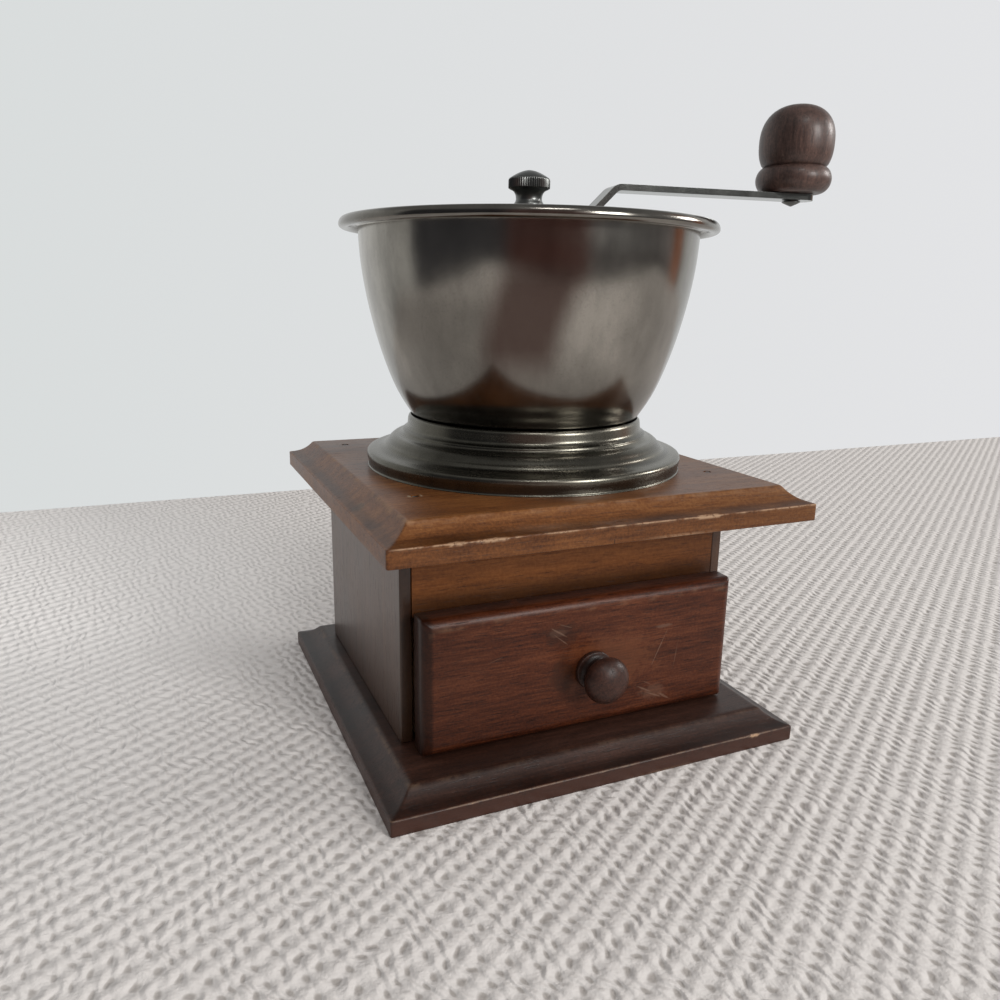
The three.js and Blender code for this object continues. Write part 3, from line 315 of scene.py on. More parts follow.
def new_material(name, settings):
    """A material whose shader has those settings. Returns it, its tree and its shader."""
    material = bpy.data.materials.new(name)
    material.use_nodes = True
    tree = material.node_tree
    shader = tree.nodes["Principled BSDF"]
    for key, value in settings.items():
        shader.inputs[key].default_value = value
    return material, tree, shader


def set_bump(tree, shader, height, distance, strength):
    made = add(tree, "Bump", {"Height": height, "Distance": distance, "Strength": strength})
    tree.links.new(made.outputs[0], shader.inputs["Normal"])


# Materials

# Features a metre in wood: across the grain for the first four, and every way for the others
WOOD_FIGURE, WOOD_BANDS, WOOD_FIBRES, WOOD_PORES = 75, 330, 1500, 2300
WOOD_CLOUDS, WOOD_EDGES, WOOD_PATCHES, WOOD_MOTTLE = 26, 320, 700, 1100
ALONG_GRAIN = 0.07  # features along the grain, of those across it
RAW_WOOD = (0.40, 0.25, 0.15)
WOOD_BUMP = 0.10 * MM
COAT_ROUGHNESS = 0.18


def wood(name, along, seed, colours, gloss=0.36, streaks=1.0, coat=0.0, ior=1.45, marks=(), gradients=()):
    """Stained wood. along is the grain's axis, 0 to 2. colours are its dark, middle and light colour. A mark is
    the middle of a cloudy patch, its turn about Y, its reach, its colour and its strength. A gradient darkens
    the wood along an axis: the axis, the places where it ends and begins, and its strength."""
    settings = {"IOR": ior, "Coat Weight": coat, "Coat Roughness": COAT_ROUGHNESS}
    material, tree, shader = new_material(name, settings)
    dark, middle, light = colours
    shift = (seed * 1.7, seed * 2.3, seed * 0.9)

    def grain(across, **kind):
        stretch = [across * (ALONG_GRAIN if axis == along else 1) for axis in range(3)]
        return noise_at(tree, stretch, shift, **kind)

    figure = grain(WOOD_FIGURE, detail=4, roughness=0.55, distortion=0.9)
    bands = grain(WOOD_BANDS, detail=3, roughness=0.6, distortion=0.5)
    fibres = grain(WOOD_FIBRES, detail=4, roughness=0.65)
    pores = spread(grain(WOOD_PORES, detail=1.5), 0.60, 0.70)
    cloud = noise_at(tree, WOOD_CLOUDS, shift, detail=2)
    mottle = noise_at(tree, WOOD_MOTTLE, shift, detail=3, roughness=0.7)
    tint = plus(plus(times(bands, 0.34), times(figure, 0.46)), times(cloud, 0.3))
    tint = plus(tint, about_half(fibres, 0.5 * streaks))
    tint = plus(tint, about_half(mottle, 0.45))
    colour = ramp(tint, ((0.36, dark), (0.55, middle), (0.76, light)))
    colour = blend_colour(times(pores, 0.5 * streaks, clamp=True), colour, [0.35 * c for c in dark])

    cloudy = about_half(noise_at(tree, WOOD_EDGES, shift, detail=4, roughness=0.65), 1.6)
    for place, turn, reach, mark_colour, strength in marks:
        far = plus(far_from(tree, place, (0, turn, 0), reach), cloudy)
        colour = blend_colour(spread(far, 0.45, 1.0, strength, 0.0), colour, mark_colour)

    # Painted shade and grime darken the wood: the piece's tone of both, and the gradients
    grime = tone_of(tree, "grime")
    for axis, end, start, strength in gradients:
        place = add(tree, "SeparateXYZ", {0: add(tree, "TexCoord").outputs["Object"]}).outputs[axis]
        grime = maths("MAXIMUM", grime, spread(place, end, start, 0.0, strength))
    colour = blend_colour(grime, colour, [0.25 * c for c in dark])
    patchy = spread(noise_at(tree, WOOD_PATCHES, shift, detail=4, roughness=0.7), 0.33, 0.50)
    wear = times(tone_of(tree, "wear"), patchy, clamp=True)
    tree.links.new(blend_colour(wear, colour, RAW_WOOD), shader.inputs["Base Color"])

    rough = plus(plus(times(cloud, 0.16), gloss - 0.08), times(pores, 0.12))
    rough = plus(rough, times(wear, 0.3), clamp=True)
    tree.links.new(rough, shader.inputs["Roughness"])
    height = maths("SUBTRACT", times(fibres, 0.4), times(pores, 0.5))
    set_bump(tree, shader, height, WOOD_BUMP, 0.5)
    return material


# Features a metre in metal. The first two are longer upwards.
METAL_CLOUDS, RUST_AREAS = (60, 60, 24), (34, 34, 12)
RUST_BREAKS, RUST_SPECKS, METAL_GRIT = 260, 620, 1700
RUST = (0.014, 0.010, 0.008)
# Colour of the painted reflection of a person on the bowl's front
PERSON_REFLECTION = (0.085, 0.052, 0.044)
METAL_BUMP = 0.012 * MM


def metal(name, colour, roughness, seed, mottle=0.06, speckle=0.12, pits=0.0):
    """Bare or plated metal. mottle is how cloudy it is, speckle how gritty and pits how much it rusts."""
    material, tree, shader = new_material(name, {"Metallic": 1})
    shift = (seed * 1.3, seed * 0.7, seed * 2.1)
    cloud = noise_at(tree, METAL_CLOUDS, shift, detail=5, roughness=0.65)
    grit = noise_at(tree, METAL_GRIT, shift, detail=3, roughness=0.7)
    darker = [c * (1 - 2 * mottle) for c in colour]
    lighter = [min(c * (1 + 2 * mottle), 1) for c in colour]
    tint = blend_colour(spread(cloud, 0.3, 0.7), darker, lighter)
    tint = blend_colour(spread(grit, 0.55, 0.75, 0.0, speckle), tint, [0.3 * c for c in colour])
    if pits:
        tint = blend_colour(times(rust(tree, shift), pits), tint, RUST)
    # Painted shade and grime darken the metal, and a painted reflection of a person tints it, where the piece's
    # tones say
    tint = blend_colour(times(tone_of(tree, "grime"), 0.8), tint, [0.18 * c for c in colour])
    tint = blend_colour(tone_of(tree, "person_reflection"), tint, PERSON_REFLECTION)
    tree.links.new(tint, shader.inputs["Base Color"])
    rough = plus(plus(about_half(cloud, 0.10), roughness), about_half(grit, 0.12), clamp=True)
    tree.links.new(rough, shader.inputs["Roughness"])
    set_bump(tree, shader, grit, METAL_BUMP, 0.35)
    return material


def rust(tree, shift):
    """Specks in loose areas, and where the tone named pits puts them."""
    cells = add(tree, "TexVoronoi", {"Vector": mapped(tree, shift, (0, 0, 0), (RUST_SPECKS,) * 3)})
    spots = spread(cells.outputs["Distance"], 0.08, 0.26, 1.0, 0.0)
    broken = spread(noise_at(tree, RUST_BREAKS, shift, detail=2), 0.46, 0.58)
    loose = spread(noise_at(tree, RUST_AREAS, shift, detail=2), 0.58, 0.72, 0, 0.35)
    where = plus(loose, tone_of(tree, "pits"), clamp=True)
    return times(times(spots, broken), where)


# Stains: dark, middle and light
TOP_WOOD = ((0.070, 0.022, 0.006), (0.156, 0.055, 0.015), (0.262, 0.110, 0.034))
RAIL_WOOD = ((0.080, 0.023, 0.004), (0.165, 0.050, 0.008), (0.250, 0.085, 0.018))
CASE_WOOD = ((0.035, 0.014, 0.007), (0.070, 0.030, 0.014), (0.110, 0.052, 0.026))
BASE_WOOD = ((0.016, 0.006, 0.004), (0.033, 0.013, 0.008), (0.064, 0.026, 0.017))
DRAWER_WOOD = ((0.030, 0.007, 0.003), (0.076, 0.019, 0.007), (0.135, 0.040, 0.016))
KNOB_WOOD = ((0.018, 0.008, 0.006), (0.040, 0.016, 0.011), (0.075, 0.030, 0.020))
CRANK_KNOB_WOOD = ((0.030, 0.016, 0.012), (0.066, 0.036, 0.029), (0.128, 0.068, 0.052))
PLAIN_WOOD = ((0.36, 0.22, 0.12), (0.50, 0.33, 0.19), (0.60, 0.43, 0.27))

BARE_VARNISH = (0.36, 0.27, 0.18)
SCUFF = (0.22, 0.13, 0.09)
GLOW = (0.15, 0.050, 0.020)
GREASE = (0.020, 0.009, 0.006)
KNOB_SHADE = (0.026, 0.009, 0.005)
DRAWER_FACE = -55.6  # in millimetres, as everything in the marks
MARK_DEPTH = 8


def mark(place, reach, colour, strength, turn=0):
    return ([part * MM for part in place], turn, [part * MM for part in reach], colour, strength)


def patch(x, z, reach_x, reach_z, colour, strength):
    """A mark on the drawer's face."""
    return mark((x, DRAWER_FACE, z), (reach_x, MARK_DEPTH, reach_z), colour, strength)


def stroke(x0, z0, x1, z1, width, strength):
    """A scratch from one place on the drawer's face to another."""
    along, up = x1 - x0, z1 - z0
    reach = (math.hypot(along, up) / 2, MARK_DEPTH, width)
    return mark((x0 + along / 2, DRAWER_FACE, z0 + up / 2), reach, SCUFF, strength, -math.atan2(up, along))


# A worn glow, grease, the knob's painted shadow, scuffs and scratches
DRAWER_MARKS = (
    patch(8, 33, 24, 13, GLOW, 0.5),
    patch(-10, 46, 9, 5, GREASE, 0.5),
    patch(-9, 32, 6, 8, KNOB_SHADE, 0.65),
    patch(27, 19, 7, 3.4, SCUFF, 0.22),
    patch(30, 43.5, 4, 0.9, SCUFF, 0.35),
    patch(-12, 47, 4, 1.6, SCUFF, 0.15),
    stroke(-15, 49.5, -8, 45, 0.3, 0.45),
    stroke(-13, 46.5, -7.5, 42, 0.25, 0.4),
    stroke(-12.5, 50.5, -6, 48, 0.2, 0.35),
    stroke(25.4, 28.1, 31.9, 42.3, 0.25, 0.5),
    stroke(19.5, 22.5, 27, 18.6, 0.4, 0.45),
    stroke(24, 19.2, 31, 16, 0.35, 0.45),
    stroke(29, 18.2, 35.5, 14, 0.45, 0.45),
    stroke(22, 24, 26.5, 21.6, 0.25, 0.3),
    stroke(35, 25, 37, 40, 0.2, 0.25),
    stroke(-38, 40, -31, 42, 0.2, 0.25),
)


def middle_of(node):
    low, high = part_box(node)
    return (low + high) / 2


# Chipped varnish on both sides of a brad, a dull ring to its left, and a short crack in the band
BRAD = middle_of("brad_front_left") / MM
BRAD_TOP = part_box("brad_front_left")[1].z / MM
TOP_MARKS = (
    *(mark((BRAD.x + side, BRAD.y, BRAD_TOP), (0.7, 1.5, 3), BARE_VARNISH, 0.7) for side in (-1.9, 1.9)),
    mark((-71.5, -32, 90), (2.6, 4.0, 8), (0.10, 0.075, 0.045), 0.45),
    mark((-4, -75, 82.2), (0.22, 3, 2.2), (0.02, 0.008, 0.004), 0.9),
)

# The base's band is redder than its top
BASE_BAND = (mark((0, 0, 1.8), (300, 300, 5.0), (0.055, 0.018, 0.010), 0.7),)

# Where the wood is darker: dark end grain and painted shade on the left panel's front edge beside the drawer,
# painted shade on the rail's foot over the drawer, low on the side panels and towards the drawer's left end,
# and darker towards the right on the top and the rail
FRONT_EDGE = ((1, -42.2 * MM, -43.0 * MM, 0.55),)
RAIL_FOOT = ((2, 65 * MM, 57.5 * MM, 0.75), (0, 10 * MM, 62 * MM, 0.2))
PANEL_FOOT = ((2, 50 * MM, 12 * MM, 0.35),)
TOP_RIGHT = ((0, -10 * MM, 75 * MM, 0.22),)
DRAWER_LEFT = ((0, -20 * MM, -52 * MM, 0.25),)

materials = {
    "top": wood("top_board_wood", 0, 1, TOP_WOOD, streaks=0.7, ior=1.38, marks=TOP_MARKS, gradients=TOP_RIGHT),
    "base": wood("base_board_wood", 0, 2, BASE_WOOD, gloss=0.40, marks=BASE_BAND),
    "left": wood("left_panel_wood", 2, 3, CASE_WOOD, streaks=0.5, coat=0.28, gradients=FRONT_EDGE + PANEL_FOOT),
    "right": wood("right_panel_wood", 2, 4, CASE_WOOD, streaks=0.5, coat=0.28, gradients=PANEL_FOOT),
    "back": wood("back_panel_wood", 0, 5, CASE_WOOD, streaks=0.5, gloss=0.40),
    "rail": wood("rail_wood", 0, 6, RAIL_WOOD, gloss=0.42, ior=1.36, gradients=RAIL_FOOT),
    "drawer": wood("drawer_front_wood", 0, 7, DRAWER_WOOD, streaks=1.3, ior=1.34, marks=DRAWER_MARKS,
                   gradients=DRAWER_LEFT),
    "drawer_sides": wood("drawer_side_wood", 1, 8, PLAIN_WOOD, gloss=0.6),
    "drawer_back": wood("drawer_back_wood", 0, 9, PLAIN_WOOD, gloss=0.6),
    "drawer_bottom": wood("drawer_bottom_wood", 0, 10, PLAIN_WOOD, gloss=0.6),
    "crank_knob": wood("crank_knob_wood", 2, 11, CRANK_KNOB_WOOD, gloss=0.42, ior=1.5, coat=0.1),
    "drawer_knob": wood("drawer_knob_wood", 1, 12, KNOB_WOOD, gloss=0.38, ior=1.4),
    "hopper": metal("hopper_metal", (0.375, 0.354, 0.318), 0.18, 1, mottle=0.1, speckle=0.5, pits=0.9),
    "collar": metal("collar_metal", (0.182, 0.173, 0.144), 0.28, 2, mottle=0.1, speckle=0.6),
    "crank": metal("crank_steel", (0.20, 0.205, 0.195), 0.13, 3, mottle=0.1, speckle=0.6),
    "spring": metal("spring_steel", (0.40, 0.39, 0.37), 0.3, 4),
    "dark": metal("dark_steel", (0.13, 0.135, 0.13), 0.36, 5),
    "nut": metal("nut_steel", (0.165, 0.17, 0.165), 0.34, 8),
    "iron": metal("cast_iron", (0.12, 0.115, 0.11), 0.6, 6, mottle=0.2, speckle=0.5),
    "brass": metal("bush_brass", (0.60, 0.42, 0.17), 0.35, 7),
}


# Boards

CORNER_STEPS = 4


def rounded_rectangle(half_x, half_y, corner, steps):
    """(x, y) counterclockwise round a rectangle with rounded corners, with that many points to each side."""
    points = []
    for side in range(4):
        reach, half = (half_x, half_y) if side % 2 == 0 else (half_y, half_x)
        local = [(reach, (2 * step / (steps - 1) - 1) * (half - corner)) for step in range(steps)]
        local += arc((reach - corner, half - corner), corner, corner, 0, QUARTER, CORNER_STEPS)[1:-1]
        cosine, sine = round(math.cos(side * QUARTER)), round(math.sin(side * QUARTER))
        points += [(cosine * x - sine * y, sine * x + cosine * y) for x, y in local]
    return points


BOARD_FRONT = -74 * MM  # what lies further forward belongs to the front edge


def top_board_wear(x, y):
    """How worn the band's upper edge is: all along the front, most near its left end and past its middle."""
    if y > BOARD_FRONT:
        return 0.10
    return 0.26 + 0.48 * near(x, -45 * MM, 22 * MM) + 0.80 * near(x, 31 * MM, 9 * MM)


def base_board_wear(x, y):
    """Little, and most near the right end of the front."""
    if y > BOARD_FRONT:
        return -0.1
    return 0.10 + 0.7 * near(x, 58 * MM, 4 * MM)


MOULDING_WIDTH = 8.0 * MM
MOULDING_START = 0.41  # its slope at the band, of its slope on average
MOULDING_END_RISE = 0.6 * MM  # from the end of the slope's curve up to the top
MOULDING_STEPS = 20
ARC_STEPS = 6
LOWER_ARRIS = 0.35 * MM
LEAST_SPAN = 0.1 * MM  # the slope's points keep that far from the arcs at its ends


def board_outline(thickness, band, shoulder, crest):
    """(inset, height) over a board's edge: a band, a slope that steepens inwards and a flat top. shoulder and
    crest are the radii at which the band's upper edge and the slope's end are worn round."""
    rise = thickness - band - MOULDING_END_RISE
    start_slope = math.atan(MOULDING_START * rise / MOULDING_WIDTH)
    end_slope = math.atan((3 - 2 * MOULDING_START) * rise / MOULDING_WIDTH)
    outline = arc((LOWER_ARRIS, LOWER_ARRIS), LOWER_ARRIS, LOWER_ARRIS, -QUARTER, -2 * QUARTER, 3)
    shoulder_arc = round_corner((0, band), shoulder, QUARTER, start_slope, ARC_STEPS)
    band_rise = shoulder_arc[0][1] - LOWER_ARRIS
    outline += [(0, LOWER_ARRIS + band_rise * step / ARC_STEPS) for step in range(1, ARC_STEPS)]
    outline += [(0, shoulder_arc[0][1] - 0.15 * MM), *shoulder_arc]
    crest_place = (MOULDING_WIDTH + (thickness - band - rise) / math.tan(end_slope), thickness)
    crest_arc = round_corner(crest_place, crest, end_slope, 0, ARC_STEPS)
    for step in range(1, MOULDING_STEPS + 1):
        inward = step / MOULDING_STEPS
        upward = MOULDING_START * inward + (1 - MOULDING_START) * inward ** 3
        place = (inward * MOULDING_WIDTH, band + upward * rise)
        if shoulder_arc[-1][0] + LEAST_SPAN < place[0] < crest_arc[0][0] - LEAST_SPAN:
            outline.append(place)
    outline += crest_arc
    return outline + [(crest_arc[-1][0] + 0.5 * MM, thickness), (crest_arc[-1][0] + 4 * MM, thickness)]


BOARD_CORNER = 0.7 * MM
BOARD_SIDE_STEPS = 150
WEAR_REACH = 1.3 * MM  # how far wear creeps from the band's upper edge
LOW_RUB_PLACE, LOW_RUB_REACH = 20 * MM, 18 * MM  # where the front's lower edge is rubbed
CHIP_BELOW = 1 * MM  # how far under the band's upper edge a chip sinks
CHIP_DROP, CHIP_DEPTH = 0.16 * MM, 0.08 * MM
EDGE_WAVER = 0.08 * MM


def moulded_board(node, finish, band, shoulder, crest, wear_at, rub, seed):
    """A square board with a moulded edge, chipped, with painted shade in the moulding's hollow. wear_at gives
    how worn the band's upper edge is, and rub how worn the crest is."""
    low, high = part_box(node)
    half = high.x

    def wear_of(x, y, inset, height, unevenness):
        """How chipped and how worn the board is at a point of its edge."""
        edge = band - 0.35 * shoulder
        from_edge = 1.6 * (edge - height) if height < edge else inset
        chip = smooth_step(0.25, 0.55, wear_at(x, y) + 0.5 * unevenness - 0.9 * from_edge / WEAR_REACH)
        on_crest = smooth_step(1.1 * MM, 0, abs(inset - MOULDING_WIDTH - 0.3 * MM))
        on_left = smooth_step(12 * MM, 10 * MM, x + half)
        rubbed = (0.5 + 0.6 * on_left) * rub * on_crest * smooth_step(-0.3, 0.5, unevenness)
        if y > 2 * MM - half:
            return chip, max(chip, rubbed)
        low_rub = smooth_step(0.9 * MM, 0.2 * MM, height) * near(x, LOW_RUB_PLACE, LOW_RUB_REACH)
        from_arris = math.hypot(inset, height - band)
        line = smooth_step(0.45 * MM, 0.2 * MM, from_arris) * smooth_step(-0.5, 0.1, unevenness)
        return chip, max(chip, rubbed, 1.6 * rub * low_rub, 2 * rub * line)

    rings, wear, grime = [], [], []
    for inset, height in board_outline(high.z - low.z, band, shoulder, crest):
        ring = []
        hollow = between(inset, 0.3 * MM, 1.0 * MM, 2.2 * MM, 5.5 * MM)
        for x, y in rounded_rectangle(half - inset, half - inset, BOARD_CORNER, BOARD_SIDE_STEPS):
            point = Vector((x, y, low.z + height))
            unevenness = roughly(point, 5 * MM, seed) + 0.6 * roughly(point, 1.3 * MM, seed + 1)
            chip, worn = wear_of(x, y, inset, height, unevenness)
            if inset < MOULDING_WIDTH and height > band - CHIP_BELOW:
                point.z -= CHIP_DROP * chip
            waver = EDGE_WAVER * (0.5 + 0.5 * roughly(point, 22 * MM, seed + 2))
            point -= Vector((x, y, 0)).normalized() * (CHIP_DEPTH * chip + waver)
            ring.append(point)
            wear.append(worn)
            # Painted shade in the moulding's hollow, less where it is chipped
            grime.append(0.68 * hollow * (0.75 + 0.35 * roughly(point, 14 * MM, seed + 3)) * (1 - chip))
        rings.append(ring)
    return dress(new_piece(*skin(rings), {"wear": wear, "grime": grime}), node, finish)


def cut_round_hole(piece, place, radius, low, high, sides):
    """Cuts a round hole from that height to that height."""
    cutter = turned([(0, low), (radius, low), (radius, high), (0, high)], sides)
    cutter.location = (place.x, place.y, 0)
    made = piece.modifiers.new("hole", "BOOLEAN")
    made.operation = "DIFFERENCE"
    made.solver = "EXACT"
    made.object = cutter
    apply_modifiers(piece)
    bpy.data.objects.remove(cutter)
    shade(piece.data, SHARP)


def apply_modifiers(piece):
    bpy.context.view_layer.update()
    graph = bpy.context.evaluated_depsgraph_get()
    baked = bpy.data.meshes.new_from_object(piece.evaluated_get(graph))
    piece.modifiers.clear()
    piece.data = baked


MERGE_DISTANCE = 0.002 * MM
FLAT_DEGREES = 0.8  # faces that meet at less become one


def ease(node, finish, width=0.3, segments=2, sharp_degrees=32):
    """A copy of a CAD node with its sharp edges rounded over by that many millimetres, or left sharp for 0."""
    made = bmesh.new()
    made.from_mesh(frame["nodes"][node].data)
    bmesh.ops.remove_doubles(made, verts=made.verts, dist=MERGE_DISTANCE)
    bmesh.ops.dissolve_limit(made, angle_limit=math.radians(FLAT_DEGREES), verts=made.verts, edges=made.edges)
    if width:
        edges = [e for e in made.edges
                 if len(e.link_faces) == 2 and e.calc_face_angle(0) > math.radians(sharp_degrees)]
        bmesh.ops.bevel(made, geom=edges, offset=width * MM, segments=segments, profile=0.5, affect="EDGES",
                        clamp_overlap=True)
    mesh = bpy.data.meshes.new("piece")
    made.to_mesh(mesh)
    made.free()
    shade(mesh, sharp_degrees)
    piece = new_object(mesh)
    if width:
        level = piece.modifiers.new("level_faces", "WEIGHTED_NORMAL")
        level.keep_sharp = True
        apply_modifiers(piece)
    dress(piece, node, finish)


HOUSING_HOLE_RADIUS = 26.9 * MM
BRAD_HOLE_RADIUS = 1.4 * MM
BRAD_HOLE_DEPTH = 1.2 * MM
CUT_OVERRUN = 1 * MM


def make_boards():
    moulded_board("base_board", "base", band=5.4 * MM, shoulder=0.7 * MM, crest=3.2 * MM,
                  wear_at=base_board_wear, rub=0.14, seed=1)
    board = moulded_board("top_board", "top", band=5.7 * MM, shoulder=0.3 * MM, crest=1.3 * MM,
                          wear_at=top_board_wear, rub=0.4, seed=2)
    low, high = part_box("top_board")
    over = high.z + CUT_OVERRUN
    cut_round_hole(board, Vector(), HOUSING_HOLE_RADIUS, low.z - CUT_OVERRUN, over, 64)
    for corner in ("front_left", "front_right", "back_left", "back_right"):
        brad = "brad_" + corner
        cut_round_hole(board, middle_of(brad), BRAD_HOLE_RADIUS, high.z - BRAD_HOLE_DEPTH, over, 20)
        ease(brad, "dark", 0)


# Hopper

BOWL_RADIUS_SHARES = (0, 0.226, 0.41, 0.606, 0.777, 0.903, 0.974, 1)
BOWL_HEIGHT_SHARES = (0, 0.045, 0.137, 0.274, 0.465, 0.669, 0.847, 1)
BOWL_FLOOR_RADIUS = 29 * MM
BOWL_MOUTH_RADIUS = 60 * MM
BOWL_DEPTH = 74.2 * MM
SHEET = 1.0 * MM
THROAT_RADIUS = 17.5 * MM
RIM_TURN = 1.2 * MM
RIM_REACH = 4.6 * MM
RIM_BEAD = 1.9 * MM
RIM_BEAD_DROP, RIM_BEAD_SAG = 0.5 * MM, 0.5 * MM
WALL_STEPS = 7
BOWL_SIDES = 160

# Degrees from +X towards +Y at which the bowl's marks start, are full, fade and end, or lie
LEFT_BAND = (-172, -160, -130, -120)
RIGHT_BAND = (-88, -74, -40, -30)
# Where the painted reflection of a person lies on the bowl, and how far it leans towards the top
PERSON_REFLECTION_PLACE = -117
PERSON_REFLECTION_LEAN = 8
PITS_PLACE = -150


def bowl_wall(floor):
    """(radius, height) up the outside of the bowl."""
    return curve_through([
        (BOWL_FLOOR_RADIUS + share * (BOWL_MOUTH_RADIUS - BOWL_FLOOR_RADIUS), floor + rise * BOWL_DEPTH)
        for share, rise in zip(BOWL_RADIUS_SHARES, BOWL_HEIGHT_SHARES)
    ], WALL_STEPS)


def signed_degrees(angle):
    return math.degrees(angle) - 360 * (angle > math.pi)


def bowl_rim(turn_top):
    """(radius, height) under the rim, round its bead and back over it."""
    centre = (BOWL_MOUTH_RADIUS + RIM_TURN, turn_top)
    over = RIM_TURN + SHEET
    under_turn = arc(centre, RIM_TURN, RIM_TURN, 2 * QUARTER, 1.15 * QUARTER, 8)[1:]
    bead_centre = (BOWL_MOUTH_RADIUS + RIM_REACH, turn_top + over - RIM_BEAD_DROP - RIM_BEAD_SAG)
    bead = arc(bead_centre, RIM_BEAD, RIM_BEAD - RIM_BEAD_SAG, -1.94 * QUARTER, 0, 14)
    bead += arc(bead_centre, RIM_BEAD, RIM_BEAD + RIM_BEAD_SAG, 0, 1.7 * QUARTER, 16)[1:]
    over_turn = arc(centre, over, over, 1.25 * QUARTER, 2 * QUARTER, 9)[:-1]
    return under_turn, bead, over_turn


def make_bowl():
    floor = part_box("hopper_bowl")[0].z
    collar_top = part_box("hopper_collar")[1].z
    wall = bowl_wall(floor)
    under_turn, bead, over_turn = bowl_rim(floor + BOWL_DEPTH)
    inner = list(reversed(offset_line(wall, SHEET)))
    outline = [(THROAT_RADIUS, floor), *wall, *under_turn, *bead, *over_turn, *inner]
    outline.append((THROAT_RADIUS, floor + SHEET))
    bead_start = 1 + len(wall) + len(under_turn)
    bead_end = bead_start + len(bead)

    def grime(index, angle):
        """Painted shade on the bead and over the collar; darker low inside and in two broad upright bands."""
        height = outline[index][1]
        if bead_start <= index < bead_end:
            return 0.62
        if index >= bead_end + len(over_turn):
            return 0.35 * smooth_step(floor + 40 * MM, floor, height)
        degrees = signed_degrees(angle)
        left = between(degrees, *LEFT_BAND) * smooth_step(floor + 60 * MM, floor + 46 * MM, height)
        right = between(degrees, *RIGHT_BAND)
        foot = smooth_step(collar_top + 32 * MM, collar_top + 2 * MM, height)
        return max(0.68 * left, 0.45 * right, 0.85 * foot)

    def person_reflection(index, angle):
        """A painted reflection of a person in front of the bowl: a leaning reddish band down the front, darker
        low down.
        """
        if not 0 < index <= len(wall):
            return 0.0
        rise = wall[index - 1][1] - floor
        middle = PERSON_REFLECTION_PLACE + PERSON_REFLECTION_LEAN * smooth_step(35 * MM, 70 * MM, rise)
        band = smooth_step(17, 7, abs(signed_degrees(angle) - middle)) * smooth_step(22 * MM, 38 * MM, rise)
        return band * (0.9 - 0.4 * smooth_step(54 * MM, 66 * MM, rise))

    def pits(index, angle):
        """Rust specks down one side of the wall."""
        if not 0 < index <= len(wall):
            return 0.0
        rise = (wall[index - 1][1] - floor) / BOWL_DEPTH
        return near(signed_degrees(angle), PITS_PLACE, 7) * between(rise, 0.12, 0.3, 0.6, 0.85)

    tones = {"grime": grime, "person_reflection": person_reflection, "pits": pits}
    dress(turned(outline, BOWL_SIDES, tones, 50), "hopper_bowl", "hopper")


# Each step of the collar from its foot up, as shares of its breadth and its height
COLLAR_SHARES = (
    (1.035, 0), (1.035, 0.012), (1.015, 0.035), (1.02, 0.10), (1.04, 0.17), (1.05, 0.24), (1.02, 0.30),
    (0.94, 0.325), (0.79, 0.345), (0.66, 0.39), (0.61, 0.44), (0.56, 0.475), (0.495, 0.54), (0.4, 0.60),
    (0.28, 0.622), (0.21, 0.663), (0.19, 0.705), (0.13, 0.74), (0.085, 0.79), (0.07, 0.87), (0.06, 0.94),
    (0.035, 0.98), (0, 1),
)
COLLAR_FOOT_RADIUS = 57.6 * MM
COLLAR_CREASES = (0.15, 0.52, 0.72)  # as shares of its breadth
COLLAR_GAP = 0.45 * MM  # between the bowl's wall and the collar's mouth
COLLAR_SHEET = 0.4 * MM


def make_collar():
    low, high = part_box("hopper_collar")
    wall = bowl_wall(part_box("hopper_bowl")[0].z)
    mouth = next(radius for radius, height in wall if height >= high.z) + COLLAR_GAP
    breadth, rise = COLLAR_FOOT_RADIUS - mouth, high.z - low.z
    outer = curve_through([(mouth + share * breadth, low.z + up * rise) for share, up in COLLAR_SHARES], 4)
    inner = reversed(offset_line(outer, COLLAR_SHEET))
    outline = outer + [(radius, min(max(height, low.z), high.z)) for radius, height in inner]

    def grime(index, angle):
        """Painted shade in the creases, at the foot under the lowest roll and on the left side."""
        radius, height = outline[index]
        share = (radius - mouth) / breadth
        crease = max(smooth_step(0.09, 0.02, abs(share - at)) for at in COLLAR_CREASES)
        below = between(height, low.z, low.z + 0.8 * MM, low.z + 2.6 * MM, low.z + 4.0 * MM)
        return max(0.6 * crease, 0.5 * below, 0.42 * smooth_step(0.3, 0.9, -math.cos(angle)))

    dress(turned(outline, BOWL_SIDES, {"grime": grime}, 50), "hopper_collar", "collar")


# Crank

KNURLS, KNURL_SIDES = 56, 6  # grooves, and points to each
KNURL_DEPTH = 0.34 * MM
NUT_RADIUS = 7.35 * MM
NUT_NECK = 4.6 * MM
NUT_WAIST = 2.7 * MM  # height of its narrowest place
NUT_BAND_FOOT = 6.0 * MM
NUT_BAND_HEIGHT = 3.2 * MM
DOME_STEPS = 12
DOME_POWER = 1.7


def knurled_ring(radius, depth, height):
    """A ring with grooves of that depth."""
    ring = []
    sides = KNURLS * KNURL_SIDES
    for index in range(sides):
        angle = TURN * index / sides
        out = radius - depth * (0.5 - 0.5 * math.cos(angle * KNURLS))
        ring.append(Vector((out * math.cos(angle), out * math.sin(angle), height)))
    return ring


